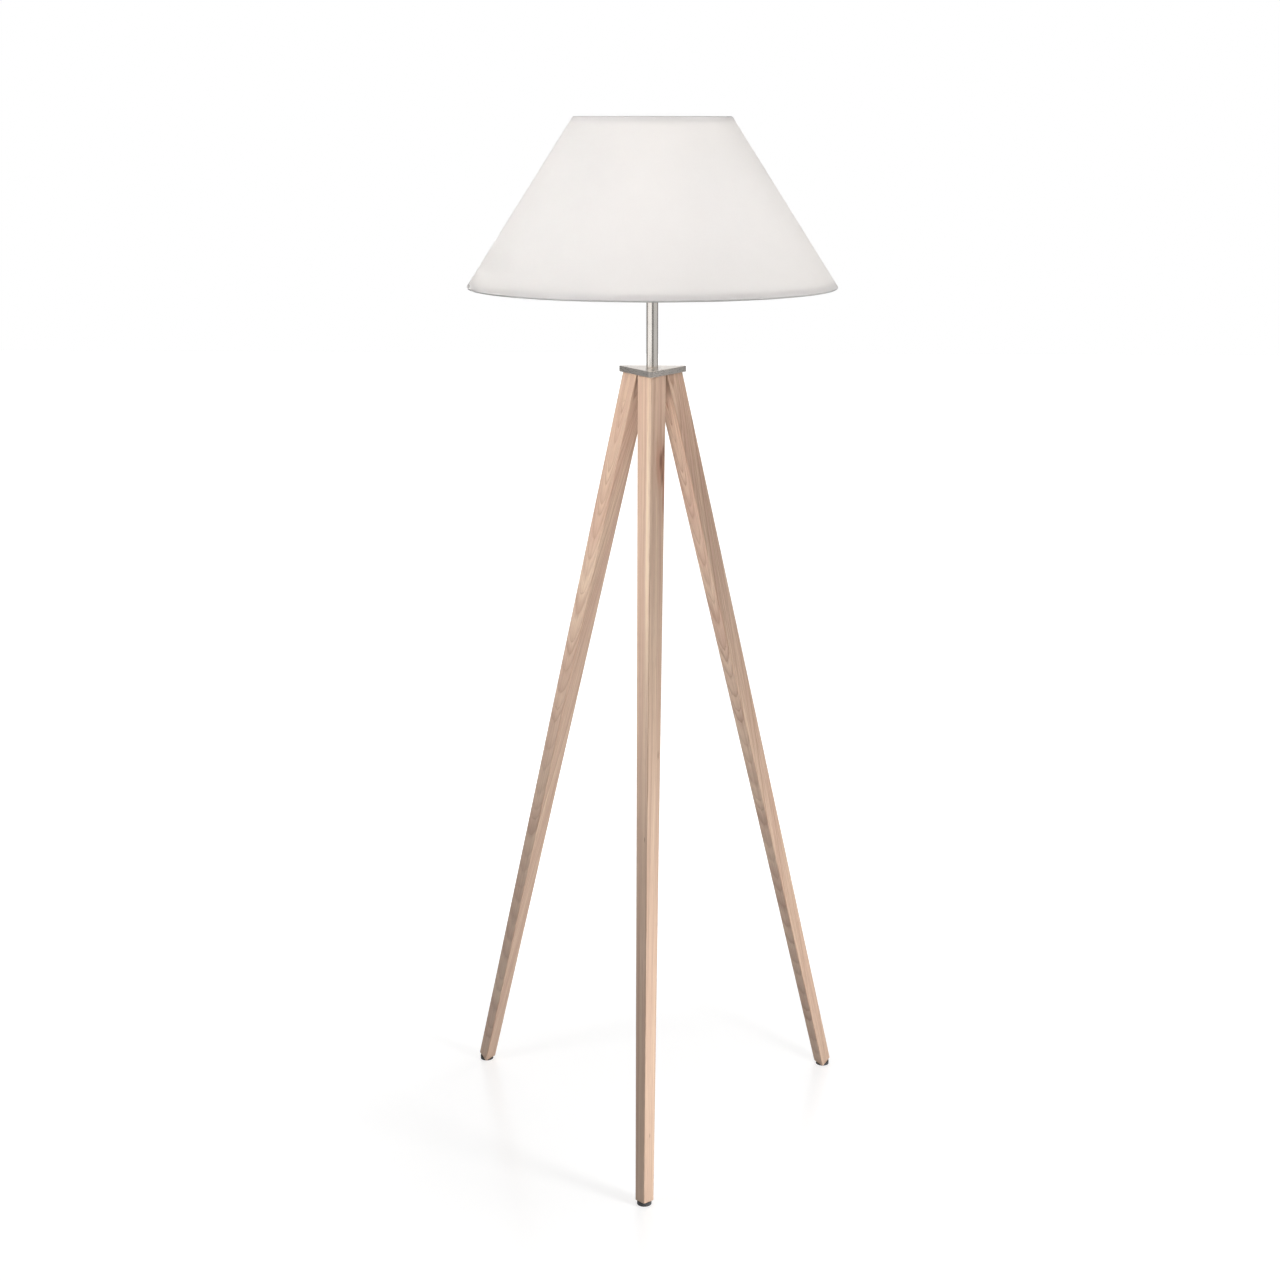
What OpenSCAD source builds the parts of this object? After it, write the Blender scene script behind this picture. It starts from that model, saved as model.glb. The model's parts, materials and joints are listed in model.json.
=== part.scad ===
// Tripod floor lamp: three tapered ash legs under a triangular plate, a slim metal
// pole, an E27 lampholder and an empire shade on a three-arm wire carrier.
// Millimetres, +Z up. The floor is z = 0, and the origin is the middle of the
// footprint, so the pole stands at y = axis_y. The front leg points to -Y.

/* [Overall] */
// Height of the shade's top edge above the floor
total_h = 1600; // [1450:10:1800]
// Height of the triangular plate's top face
plate_z = 1226; // [1100:2:1260]

/* [Legs] */
// Distance from the pole's axis to the middle of each leg's foot
foot_r = 338; // [260:2:420]
// Distance from the pole's axis to the middle of each leg's top
leg_top_r = 27; // [26:0.5:29]
// Side of a leg's triangular section at its top
leg_side_top = 45; // [42:0.5:46]
// Side of a leg's triangular section at its foot
leg_side_foot = 29; // [26:0.5:40]
// Radius of a leg's eased long edges
leg_edge_r = 1.2; // [0.6:0.1:2]
// Height of the eased edge round a leg's foot
foot_ease = 1.2; // [0.6:0.1:2]
// Height of the middle of a leg's square-cut end above the floor
foot_gap = 3.4; // [3.2:0.1:6]

/* [Glides] */
// Diameter of the round rubber glide under each leg
glide_d = 22; // [18:0.5:23]
// Depth of the glide's screw recess
glide_recess = 1.2; // [0.8:0.1:1.4]
// Head diameter of the glide screw
glide_head_d = 6; // [5:0.5:7]
// Head height of the glide screw
glide_head_h = 1.4; // [1:0.1:1.5]
// Shank diameter of the glide screw
glide_screw_d = 3; // [2.5:0.1:3.5]
// Length of the glide screw below its head
glide_screw_l = 18; // [12:1:25]

/* [Plate] */
// Distance from the pole's axis to each cut-off corner of the cover
plate_corner_r = 58; // [57:0.5:66]
// Width of each cut-off corner
plate_facet_w = 6; // [5:0.5:10]
// Height of the cover's skirt, top face included
cover_h = 9; // [8.8:0.1:14]
// Wall of the pressed cover
cover_wall = 1.5; // [1:0.1:1.6]
// Thickness of the steel mounting plate
mount_t = 4; // [3:0.1:4.1]
// Outer diameter of the spacer between mounting plate and cover
spacer_d = 24; // [18:0.5:26]

/* [Leg fixings] */
// Nominal diameter of a leg bolt
bolt_d = 6; // [5:0.5:7]
// Length of a leg bolt below its head
bolt_l = 20; // [14:1:25]
// Head diameter of a leg bolt
bolt_head_d = 10.5; // [9:0.5:12]
// Head height of a leg bolt
bolt_head_h = 3.2; // [2.5:0.1:3.3]
// Across flats of a leg bolt's socket
bolt_socket_af = 4; // [3:0.5:4]
// Outer diameter of a threaded leg insert
insert_d = 9; // [8:0.5:10]
// Length of a threaded leg insert
insert_l = 15; // [12:1:20]
// Diameter of a locating dowel
dowel_d = 5; // [4:0.5:6]
// Length of a locating dowel
dowel_l = 16; // [12:1:20]
// Distance from a leg bolt outward to its dowel
dowel_offset = 12; // [10:0.5:13]

/* [Pole] */
// Outer diameter of the pole
pole_d = 18; // [16:0.5:22]
// Wall of the pole
pole_wall = 1.2; // [0.8:0.1:1.5]
// Length of each threaded bush in the pole's ends
bush_l = 16; // [14:1:30]
// Outer diameter of the threaded nipples
nipple_d = 10; // [8:0.5:10]
// Bore of the threaded nipples
nipple_bore = 7.6; // [5:0.2:8]
// Length of a nipple's grip in a bush
nipple_grip = 12; // [8:1:14]
// Across flats of the nipple nut
nut_af = 14; // [13:0.5:17]
// Height of the nipple nut
nut_h = 5; // [4:0.5:8]
// Outer diameter of the nipple washer
washer_d = 20; // [18:0.5:22]
// Thickness of the nipple washer
washer_t = 1.5; // [1:0.1:2]

/* [Cord gland] */
// Outer diameter of the cord gland
gland_d = 17; // [15:0.5:20]
// Length of the gland's threaded socket
gland_socket_l = 9; // [7:1:12]
// Length of the gland's cord hole
gland_hole_l = 9; // [6:1:14]
// Diameter of the gland's cord hole
cord_hole_d = 7.2; // [6:0.1:8]

/* [Lampholder] */
// Drop from the shade's top edge to the holder's flange, which carries the shade
ring_drop = 140; // [122:1:168]
// Length of the holder's cap
cap_h = 24; // [22:1:28]
// Height of the cap's entry collar
collar_h = 8; // [6:1:9]
// Diameter of the cap's entry collar
collar_d = 16; // [14:0.5:18]
// Outer diameter of the holder below its flange
holder_d = 39; // [38:0.5:39.5]
// Distance from the cap's rim up to the top of the flange
flange_up = 26; // [24:0.5:28]
// Outer diameter of the flange
flange_d = 51; // [46:0.5:56]
// Thickness of the flange
flange_t = 3; // [2:0.5:4]
// Major diameter of the sleeve's shade-ring thread
thread_d = 39.6; // [38.5:0.1:40]
// Length of the shade-ring thread
thread_l = 18; // [16:1:22]
// Inner diameter of the sleeve's lamp thread
lamp_bore = 27.2; // [27:0.1:28]
// Height of the contact carrier
carrier_h = 12; // [10:1:13]
// Diameter of the terminal and grub screws
small_screw_d = 3; // [2.5:0.5:3.5]

/* [Shade ring nut] */
// Outer diameter of the shade ring nut
ring_nut_d = 54; // [50:0.5:58]
// Height of the shade ring nut
ring_nut_h = 8; // [6:0.5:9]
// Number of finger flutes round the nut
ring_nut_flutes = 24; // [12:2:36]
// Radius of a finger flute
flute_r = 1.5; // [0.8:0.1:2]

/* [Shade] */
// Radius of the shade's bottom edge
shade_bottom_r = 283; // [230:1:320]
// Radius of the shade's top edge
shade_top_r = 119; // [100:1:150]
// Height of the shade
shade_h = 253; // [200:1:280]
// Thickness of the fabric and its stiff backing
shade_wall = 1; // [0.8:0.1:1.5]
// Diameter of the shade's wires
wire_d = 4; // [3:0.1:5]
// Thickness of the fabric rolled round the wires
hem_t = 0.5; // [0.4:0.1:0.8]
// Diameter of the carrier's three arms
arm_d = 3.2; // [2.5:0.1:4]
// Turn of the carrier's arms about the pole
arm_turn = 5; // [0:1:25]
// Hole in the fitter ring
fitter_hole_d = 42; // [41:0.5:44]
// Outer diameter of the fitter ring
fitter_d = 58; // [54:0.5:64]
// Thickness of the fitter ring
fitter_t = 2.5; // [2:0.1:3]
// Width of the glued back seam
seam_w = 14; // [8:1:20]
// Thickness of the glued back seam
seam_t = 0.6; // [0.4:0.1:1]

/* [Bulb] */
// Diameter of the bulb's dome
bulb_d = 60; // [55:1:65]
// Height of the dome's centre above the holder's flange
bulb_up = 64; // [60:1:72]
// Wall of the bulb's dome
bulb_wall = 1.5; // [1:0.1:2]
// Diameter of the bulb's screw cap
bulb_cap_d = 26.4; // [26:0.1:26.6]
// Length of the bulb's screw cap
bulb_cap_l = 26; // [25:0.5:27]
// Height of the bulb cap's insulator
insulator_h = 2.2; // [1.8:0.1:2.6]
// Diameter of the bulb's tip contact
tip_d = 8; // [6:0.5:9]
// Drop from the dome's centre to its rim on the housing
dome_drop = 18; // [14:1:20]

/* [Clearances] */
// Radial gap in threads and press fits
thread_gap = 0.05; // [0.02:0.01:0.1]
// Radial gap round a bolt or nipple in a plate
hole_gap = 0.2; // [0.1:0.05:0.3]
// Gap between pieces that turn against each other
turn_gap = 0.1; // [0.05:0.05:0.15]
// Gap between the mounting plate and the cover's skirt
skirt_gap = 0.4; // [0.2:0.1:0.6]

/* [Hidden] */
$fn = 96;
eps = 0.01;
over = 1;
round_fn = 32;

// Legs
leg_azimuths = [-90, 30, 150];
leg_top_z = plate_z - cover_h;
splay = atan((foot_r - leg_top_r) / (leg_top_z - foot_gap));
leg_len = (leg_top_z - foot_gap) / cos(splay);
foot_reach = foot_r + leg_side_foot / sqrt(3) * cos(splay);

// Glide screws, upwards from the recess
glide_neck_z = glide_recess + glide_head_h;
glide_tip_z = glide_neck_z + glide_screw_l;

// The pole's place, so that the footprint is centred on the origin
axis_y = (foot_reach - shade_bottom_r) / 2;

// Plate stack, upwards from the leg tops
mount_top_z = leg_top_z + mount_t;
cover_under_z = plate_z - cover_wall;
dowel_r = leg_top_r + dowel_offset;

// Nipple stack, downwards from the mounting plate
nut_top_z = leg_top_z - washer_t;
nut_bottom_z = nut_top_z - nut_h;
nut_to_gland = 6;
gland_taper = 2;
bolt_socket_floor = bolt_head_h / 3;
gland_top_z = nut_bottom_z - nut_to_gland;
nipple_bottom_z = gland_top_z - gland_socket_l;
gland_bottom_z = nipple_bottom_z - gland_hole_l;
nipple_top_z = plate_z + nipple_grip;

// Lampholder, about its flange
ring_z = total_h - ring_drop;
cap_top_z = ring_z - flange_up;
holder_z = cap_top_z - cap_h;
sleeve_top_z = ring_z + thread_l;
cap_wall = 2;
shoulder_h = 6;
shoulder_z = holder_z + collar_h + shoulder_h;
cap_inner_r = holder_d / 2 - cap_wall;
cap_floor_z = holder_z + collar_h + cap_wall;
carrier_r = cap_inner_r - hole_gap;
carrier_ledge = 1.5;
carrier_depth = 5;
carrier_seat_z = cap_top_z - carrier_depth;
carrier_top_z = carrier_seat_z + carrier_h;
contact_stem_r = 2;
terminal_r = (carrier_r + contact_stem_r) / 2;
terminal_head_lip = 1.2;
terminal_head_h = 1.6;
terminal_hole_h = carrier_h / 2;
terminal_end_gap = 1;
grub_inset = 0.3;

// Shade, whose outer side runs straight from bottom to top
shade_z = total_h - shade_h;
shade_slope = (shade_bottom_r - shade_top_r) / shade_h;
shade_angle = atan(shade_slope);
hem_r = wire_d / 2 + hem_t + thread_gap;
wire_inset = (shade_wall + turn_gap + hem_r) / cos(shade_angle);
wire_edge_gap = 0.3;
top_wire_z = total_h - hem_r - wire_edge_gap;
bottom_wire_z = shade_z + hem_r + wire_edge_gap;
fitter_z = ring_z + turn_gap;
ring_nut_z = fitter_z + fitter_t + turn_gap;
arm_azimuths = [for (a = leg_azimuths) a + 60 + arm_turn];

// Bulb, upwards from its tip
bulb_centre_z = ring_z + bulb_up;
bulb_lift = 0.5;
bulb_cap_top_z = sleeve_top_z + bulb_lift;
bulb_cap_z = bulb_cap_top_z - bulb_cap_l;
insulator_z = bulb_cap_z - insulator_h;
insulator_lip = 1;
tip_h = 1;
tip_z = insulator_z - tip_h;
bulb_neck_lip = 1.3;
bulb_neck_r = bulb_cap_d / 2 + bulb_neck_lip;
dome_cut_z = bulb_centre_z - dome_drop;
dome_cut_r = sqrt(pow(bulb_d / 2, 2) - pow(dome_drop, 2));
led_board_r = sqrt(pow(bulb_d / 2 - bulb_wall, 2) - pow(dome_drop, 2)) - hole_gap;
led_board_t = 1.6;
led_wire_hole_r = 3;
housing_wall = 2;
board_ledge = 2;

// Contacts, which stop just short of the bulb so that it turns freely
contact_gap = 0.3;
contact_pad_h = 0.8;
contact_pad_inset = 1;
side_w = 5;
side_t = 0.6;
side_foot_h = 6;
side_y = -bulb_cap_d / 2 - contact_gap - side_t;
side_lap = 8;
side_top_z = bulb_cap_z + side_lap;
seam_end = 1;

// Radius of the shade's outer side at a height
function shade_r(z) = shade_bottom_r - shade_slope * (z - shade_z);

// Radius of a shade wire's centre line at a height
function wire_r(z) = shade_r(z) - wire_inset;

// Side of a leg's section at a distance up the leg from its foot
function leg_side(up) = leg_side_foot + (leg_side_top - leg_side_foot) * up / leg_len;

// ---- Helpers ----

// Moves a piece from the pole's own axis to its place over the footprint
module on_axis() {
    translate([0, axis_y, 0]) children();
}

// One copy for each leg, pointing outward along +X before it is turned
module per_leg() {
    for (a = leg_azimuths) rotate([0, 0, a]) children();
}

// A leg's own frame: z runs up the leg from the middle of its foot
module leg_frame() {
    translate([foot_r, 0, foot_gap]) rotate([0, -splay, 0]) children();
}

// A plain ring or tube on the z axis
module tube(z, h, outer_r, inner_r) {
    translate([0, 0, z]) difference() {
        cylinder(h = h, r = outer_r);
        translate([0, 0, -over]) cylinder(h = h + over * 2, r = inner_r);
    }
}

// A rod on the z axis
module rod(z, h, r) {
    translate([0, 0, z]) cylinder(h = h, r = r);
}

// The triangular plate's outline with cut-off corners, moved in by an inset
module plate_outline(inset) {
    corner = plate_corner_r - inset;
    half_w = plate_facet_w / 2 - inset * tan(30);
    polygon([
        for (a = leg_azimuths, s = [-1, 1])
            [corner * cos(a) - s * half_w * sin(a), corner * sin(a) + s * half_w * cos(a)]
    ]);
}

// One slice of a leg's section: a triangle with one corner outward and eased corners
module leg_slice(up, ease) {
    corner_r = leg_side(up) / sqrt(3) - 2 * leg_edge_r - ease;
    for (a = [0, 120, 240])
        rotate([0, 0, a]) translate([corner_r, 0, up]) cylinder(h = eps, r = leg_edge_r, $fn = round_fn);
}

// ---- Legs and glides ----

// One leg, tapered along its length, cut level under the plate and square at the foot
module leg() {
    above = leg_side_top * tan(splay);
    difference() {
        leg_frame() hull() {
            leg_slice(0, foot_ease);
            leg_slice(foot_ease, 0);
            leg_slice(leg_len + above, 0);
        }
        translate([0, -leg_side_top, leg_top_z]) cube([leg_side_top * 3, leg_side_top * 2, above * 3]);
        translate([leg_top_r, 0, leg_top_z - bolt_l])
            cylinder(h = bolt_l + over, r = insert_d / 2 + thread_gap);
        translate([dowel_r, 0, mount_top_z - dowel_l - over])
            cylinder(h = dowel_l + over * 2, r = dowel_d / 2 + thread_gap);
        translate([foot_r, 0, 0]) cylinder(h = glide_tip_z + over, r = glide_screw_d / 2 + thread_gap);
    }
}

module leg_front() color("burlywood") on_axis() rotate([0, 0, leg_azimuths[0]]) leg();

module leg_right() color("burlywood") on_axis() rotate([0, 0, leg_azimuths[1]]) leg();

module leg_left() color("burlywood") on_axis() rotate([0, 0, leg_azimuths[2]]) leg();

// Rubber glides, flat on the floor and slanted on top to meet the square-cut legs
module foot_glides() color("dimgray") on_axis() per_leg() difference() {
    translate([foot_r, 0, 0]) cylinder(h = glide_d, r = glide_d / 2);
    leg_frame() translate([-glide_d, -glide_d, 0]) cube([glide_d * 2, glide_d * 2, glide_d * 2]);
    translate([foot_r, 0, -over]) cylinder(h = glide_neck_z + over, r = glide_head_d / 2 + thread_gap);
    translate([foot_r, 0, 0]) cylinder(h = glide_d, r = glide_screw_d / 2 + thread_gap);
}

module glide_screws() color("silver") on_axis() per_leg() translate([foot_r, 0, 0]) union() {
    rod(glide_recess, glide_head_h, glide_head_d / 2);
    rod(glide_neck_z - eps, glide_screw_l + eps, glide_screw_d / 2);
}

// ---- Leg fixings ----

module leg_inserts() color("goldenrod") on_axis() per_leg() translate([leg_top_r, 0, 0])
    tube(leg_top_z - insert_l, insert_l, insert_d / 2, bolt_d / 2);

module leg_bolts() color("silver") on_axis() per_leg() translate([leg_top_r, 0, 0]) difference() {
    union() {
        rod(mount_top_z, bolt_head_h, bolt_head_d / 2);
        rod(mount_top_z - bolt_l, bolt_l + eps, bolt_d / 2 - thread_gap);
    }
    translate([0, 0, mount_top_z + bolt_socket_floor])
        cylinder(h = bolt_head_h, r = bolt_socket_af / sqrt(3), $fn = 6);
}

module leg_dowels() color("tan") on_axis() per_leg() translate([dowel_r, 0, 0])
    rod(mount_top_z - dowel_l, dowel_l, dowel_d / 2);

// ---- Plate and pole ----

module mounting_plate() color("gray") on_axis() difference() {
    translate([0, 0, leg_top_z]) linear_extrude(mount_t) plate_outline(cover_wall + skirt_gap);
    rod(leg_top_z - over, mount_t + over * 2, nipple_d / 2 + hole_gap);
    per_leg() translate([leg_top_r, 0, 0]) rod(leg_top_z - over, mount_t + over * 2, bolt_d / 2 + hole_gap);
    per_leg() translate([dowel_r, 0, 0]) rod(leg_top_z - over, mount_t + over * 2, dowel_d / 2 + thread_gap);
}

module plate_cover() color("silver") on_axis() difference() {
    translate([0, 0, leg_top_z]) linear_extrude(cover_h) plate_outline(0);
    translate([0, 0, leg_top_z - over]) linear_extrude(cover_h - cover_wall + over) plate_outline(cover_wall);
    rod(leg_top_z, cover_h + over, nipple_d / 2 + hole_gap);
}

module cover_spacer() color("gray") on_axis()
    tube(mount_top_z, cover_under_z - mount_top_z, spacer_d / 2, nipple_d / 2 + hole_gap);

module lower_nipple() color("darkgoldenrod") on_axis()
    tube(nipple_bottom_z, nipple_top_z - nipple_bottom_z, nipple_d / 2 - thread_gap, nipple_bore / 2);

module nipple_washer() color("silver") on_axis()
    tube(nut_top_z, washer_t, washer_d / 2, nipple_d / 2 + hole_gap);

module nipple_nut() color("silver") on_axis() difference() {
    translate([0, 0, nut_bottom_z]) cylinder(h = nut_h, r = nut_af / sqrt(3), $fn = 6);
    rod(nut_bottom_z - over, nut_h + over * 2, nipple_d / 2);
}

module cord_gland() color("black") on_axis() difference() {
    union() {
        rod(nipple_bottom_z, gland_socket_l, gland_d / 2);
        translate([0, 0, gland_bottom_z])
            cylinder(h = gland_hole_l + eps, r1 = gland_d / 2 - gland_taper, r2 = gland_d / 2);
    }
    rod(nipple_bottom_z, gland_socket_l + over, nipple_d / 2);
    rod(gland_bottom_z - over, gland_hole_l + over * 2, cord_hole_d / 2);
}

module pole_tube() color("silver") on_axis()
    tube(plate_z, holder_z - plate_z, pole_d / 2, pole_d / 2 - pole_wall);

module pole_bushes() color("gray") on_axis() for (z = [plate_z, holder_z - bush_l])
    tube(z, bush_l, pole_d / 2 - pole_wall - thread_gap, nipple_d / 2);

module upper_nipple() color("darkgoldenrod") on_axis()
    tube(holder_z - nipple_grip, nipple_grip + collar_h, nipple_d / 2 - thread_gap, nipple_bore / 2);

// ---- Lampholder ----

// The cap: an entry collar, a shoulder cone and a short cylinder, hollow above its floor
module holder_cap() color("white") on_axis() difference() {
    union() {
        rod(holder_z, collar_h, collar_d / 2);
        translate([0, 0, holder_z + collar_h - eps])
            cylinder(h = shoulder_h + eps, r1 = collar_d / 2, r2 = holder_d / 2);
        rod(shoulder_z - eps, cap_top_z - shoulder_z + eps, holder_d / 2);
    }
    rod(holder_z - over, cap_h, nipple_d / 2);
    translate([0, 0, cap_floor_z])
        cylinder(h = shoulder_h, r1 = collar_d / 2 - cap_wall, r2 = carrier_r - carrier_ledge);
    rod(cap_floor_z + shoulder_h - eps, cap_h, carrier_r - carrier_ledge);
    rod(carrier_seat_z, cap_h, cap_inner_r);
    grub_screw_hole(small_screw_d / 2);
}

// The grub screw's hole through the collar, level and pointing to the back
module grub_screw_hole(r) {
    translate([0, 0, holder_z + collar_h / 2]) rotate([-90, 0, 0]) cylinder(h = collar_d, r = r);
}

module entry_grub_screw() color("silver") on_axis() translate([0, nipple_d / 2 + thread_gap, 0])
    translate([0, 0, holder_z + collar_h / 2]) rotate([-90, 0, 0])
        cylinder(h = (collar_d - nipple_d) / 2 - grub_inset, r = small_screw_d / 2 - thread_gap);

module contact_carrier() color("ivory") on_axis() difference() {
    rod(carrier_seat_z, carrier_h, carrier_r);
    for (s = [-1, 1]) translate([s * terminal_r, 0, 0])
        rod(carrier_seat_z - over, terminal_hole_h + over, small_screw_d / 2);
    rod(carrier_seat_z - over, carrier_h + over * 2, contact_stem_r + thread_gap);
    side_contact_slot(thread_gap);
}

// The centre contact: a stem through the carrier with a sprung pad just under the bulb's tip
module centre_contact() color("goldenrod") on_axis() union() {
    rod(carrier_seat_z, tip_z - contact_gap - carrier_seat_z, contact_stem_r);
    rod(tip_z - contact_gap - contact_pad_h, contact_pad_h, tip_d / 2 - contact_pad_inset);
}

// The slot in the carrier that holds the side contact's foot
module side_contact_slot(gap) {
    translate([-side_w / 2 - gap, side_y - gap, carrier_top_z - side_foot_h])
        cube([side_w + gap * 2, side_t + gap * 2, side_foot_h + over]);
}

// The side contact: a strip that stands beside the bulb's screw cap
module side_contact() color("goldenrod") on_axis()
    translate([-side_w / 2, side_y, carrier_top_z - side_foot_h])
        cube([side_w, side_t, side_top_z - carrier_top_z + side_foot_h]);

module terminal_screws() color("silver") on_axis() for (s = [-1, 1]) translate([s * terminal_r, 0, 0]) {
    rod(carrier_seat_z - terminal_head_h, terminal_head_h, small_screw_d / 2 + terminal_head_lip);
    rod(carrier_seat_z - eps, terminal_hole_h - terminal_end_gap, small_screw_d / 2 - thread_gap);
}

// The sleeve: lower skirt, flange and shade-ring thread, with the lamp thread inside
module holder_sleeve() color("white") on_axis() difference() {
    union() {
        rod(cap_top_z, flange_up, holder_d / 2);
        rod(ring_z - flange_t, flange_t, flange_d / 2);
        rod(ring_z - eps, thread_l + eps, thread_d / 2);
    }
    rod(cap_top_z - over, carrier_top_z - cap_top_z + over + hole_gap, carrier_r + hole_gap);
    rod(cap_top_z, sleeve_top_z - cap_top_z + over, lamp_bore / 2);
    translate([-side_w / 2 - hole_gap, side_y - hole_gap, cap_top_z])
        cube([side_w + hole_gap * 2, side_t + contact_gap + hole_gap + over, side_top_z - cap_top_z + over]);
}

// A fluted nut that clamps the fitter ring on the flange
module shade_ring_nut() color("white") on_axis() difference() {
    tube(ring_nut_z, ring_nut_h, ring_nut_d / 2, thread_d / 2 + turn_gap);
    for (i = [0 : ring_nut_flutes - 1]) rotate([0, 0, i * 360 / ring_nut_flutes])
        translate([ring_nut_d / 2 + flute_r / 2, 0, ring_nut_z - over])
            cylinder(h = ring_nut_h + over * 2, r = flute_r, $fn = round_fn);
}

// ---- Shade ----

// A cone-shaped wall that follows the shade's side, from an outset to a wall's depth
module shade_wall_solid(z0, z1, outset, wall) {
    out = outset / cos(shade_angle);
    in = (wall - outset) / cos(shade_angle);
    difference() {
        translate([0, 0, z0]) cylinder(h = z1 - z0, r1 = shade_r(z0) + out, r2 = shade_r(z1) + out);
        translate([0, 0, z0 - over])
            cylinder(h = z1 - z0 + over * 2, r1 = shade_r(z0 - over) - in, r2 = shade_r(z1 + over) - in);
    }
}

module shade_skin() color("ivory") on_axis() shade_wall_solid(shade_z, total_h, 0, shade_wall);

// The three arms, straight from the top wire down to the fitter ring
module carrier_arms(r) {
    start = [wire_r(top_wire_z), 0, top_wire_z];
    end = [fitter_d / 2, 0, fitter_z + fitter_t / 2];
    run = start - end;
    for (a = arm_azimuths) rotate([0, 0, a]) translate(end)
        rotate([0, atan2(run[0], run[2]), 0]) cylinder(h = norm(run), r = r);
}

// A ring of round wire on the shade's inner side
module shade_ring(z, r) {
    translate([0, 0, z]) rotate_extrude() translate([wire_r(z), 0]) circle(r = r, $fn = round_fn);
}

// The flat ring that sits on the holder's flange
module fitter_ring() color("silver") on_axis() tube(fitter_z, fitter_t, fitter_d / 2, fitter_hole_d / 2);

// The arms, coped where they are welded to the top wire and the fitter ring
module shade_arms() color("silver") on_axis() difference() {
    carrier_arms(arm_d / 2);
    shade_ring(top_wire_z, wire_d / 2);
    rod(fitter_z, fitter_t, fitter_d / 2);
    rod(fitter_z - arm_d, arm_d, fitter_d);
}

module shade_top_wire() color("silver") on_axis() shade_ring(top_wire_z, wire_d / 2);

module shade_bottom_wire() color("silver") on_axis() shade_ring(bottom_wire_z, wire_d / 2);

// Fabric rolled round the top wire, notched where the arms leave it
module shade_top_hem() color("ivory") on_axis() difference() {
    shade_ring(top_wire_z, hem_r);
    shade_ring(top_wire_z, wire_d / 2 + thread_gap);
    carrier_arms(arm_d / 2 + hole_gap);
}

module shade_bottom_hem() color("ivory") on_axis() difference() {
    shade_ring(bottom_wire_z, hem_r);
    shade_ring(bottom_wire_z, wire_d / 2 + thread_gap);
}

// The skin's lapped and glued seam, down the back
module shade_back_seam() color("ivory") on_axis() intersection() {
    shade_wall_solid(shade_z + seam_end, total_h - seam_end, seam_t + thread_gap, seam_t);
    translate([-seam_w / 2, 0, shade_z]) cube([seam_w, shade_bottom_r * 2, shade_h]);
}

// ---- Bulb ----

module bulb_glass() color("white") on_axis() difference() {
    translate([0, 0, bulb_centre_z]) sphere(r = bulb_d / 2);
    translate([0, 0, bulb_centre_z]) sphere(r = bulb_d / 2 - bulb_wall);
    rod(bulb_centre_z - bulb_d, dome_cut_z - bulb_centre_z + bulb_d, bulb_d);
}

// The housing flares from the screw cap to the dome
module bulb_housing() color("white") on_axis() difference() {
    translate([0, 0, bulb_cap_top_z])
        cylinder(h = dome_cut_z - bulb_cap_top_z, r1 = bulb_neck_r, r2 = dome_cut_r);
    translate([0, 0, bulb_cap_top_z + housing_wall]) cylinder(
        h = dome_cut_z - bulb_cap_top_z,
        r1 = bulb_neck_r - housing_wall,
        r2 = led_board_r - board_ledge
    );
}

module led_board() color("khaki") on_axis() difference() {
    rod(dome_cut_z, led_board_t, led_board_r);
    rod(dome_cut_z - over, led_board_t + over * 2, led_wire_hole_r);
}

module bulb_cap() color("silver") on_axis()
    rod(bulb_cap_z, bulb_cap_l, bulb_cap_d / 2);

module bulb_insulator() color("black") on_axis() translate([0, 0, insulator_z])
    cylinder(h = insulator_h, r1 = tip_d / 2 + insulator_lip, r2 = bulb_cap_d / 2 - insulator_lip);

module bulb_tip() color("silver") on_axis() rod(tip_z, tip_h, tip_d / 2);

leg_front();
leg_right();
leg_left();
foot_glides();
glide_screws();
leg_inserts();
leg_bolts();
leg_dowels();
mounting_plate();
plate_cover();
cover_spacer();
lower_nipple();
nipple_washer();
nipple_nut();
cord_gland();
pole_tube();
pole_bushes();
upper_nipple();
holder_cap();
entry_grub_screw();
contact_carrier();
centre_contact();
side_contact();
terminal_screws();
holder_sleeve();
shade_ring_nut();
shade_skin();
fitter_ring();
shade_arms();
shade_top_wire();
shade_bottom_wire();
shade_top_hem();
shade_bottom_hem();
shade_back_seam();
bulb_glass();
bulb_housing();
led_board();
bulb_cap();
bulb_insulator();
bulb_tip();
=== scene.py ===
"""Tripod floor lamp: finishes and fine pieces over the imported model.

Three tapered ash legs carry a satin-nickel plate, a slim pole, a lampholder and
an empire shade on a wire carrier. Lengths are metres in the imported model's own
frame, unless a name says millimetres.
"""

import json
import logging
import math
from dataclasses import dataclass
from enum import Enum
from typing import Any, Sequence

import bmesh
import bpy
from mathutils import Matrix, Vector


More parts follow.
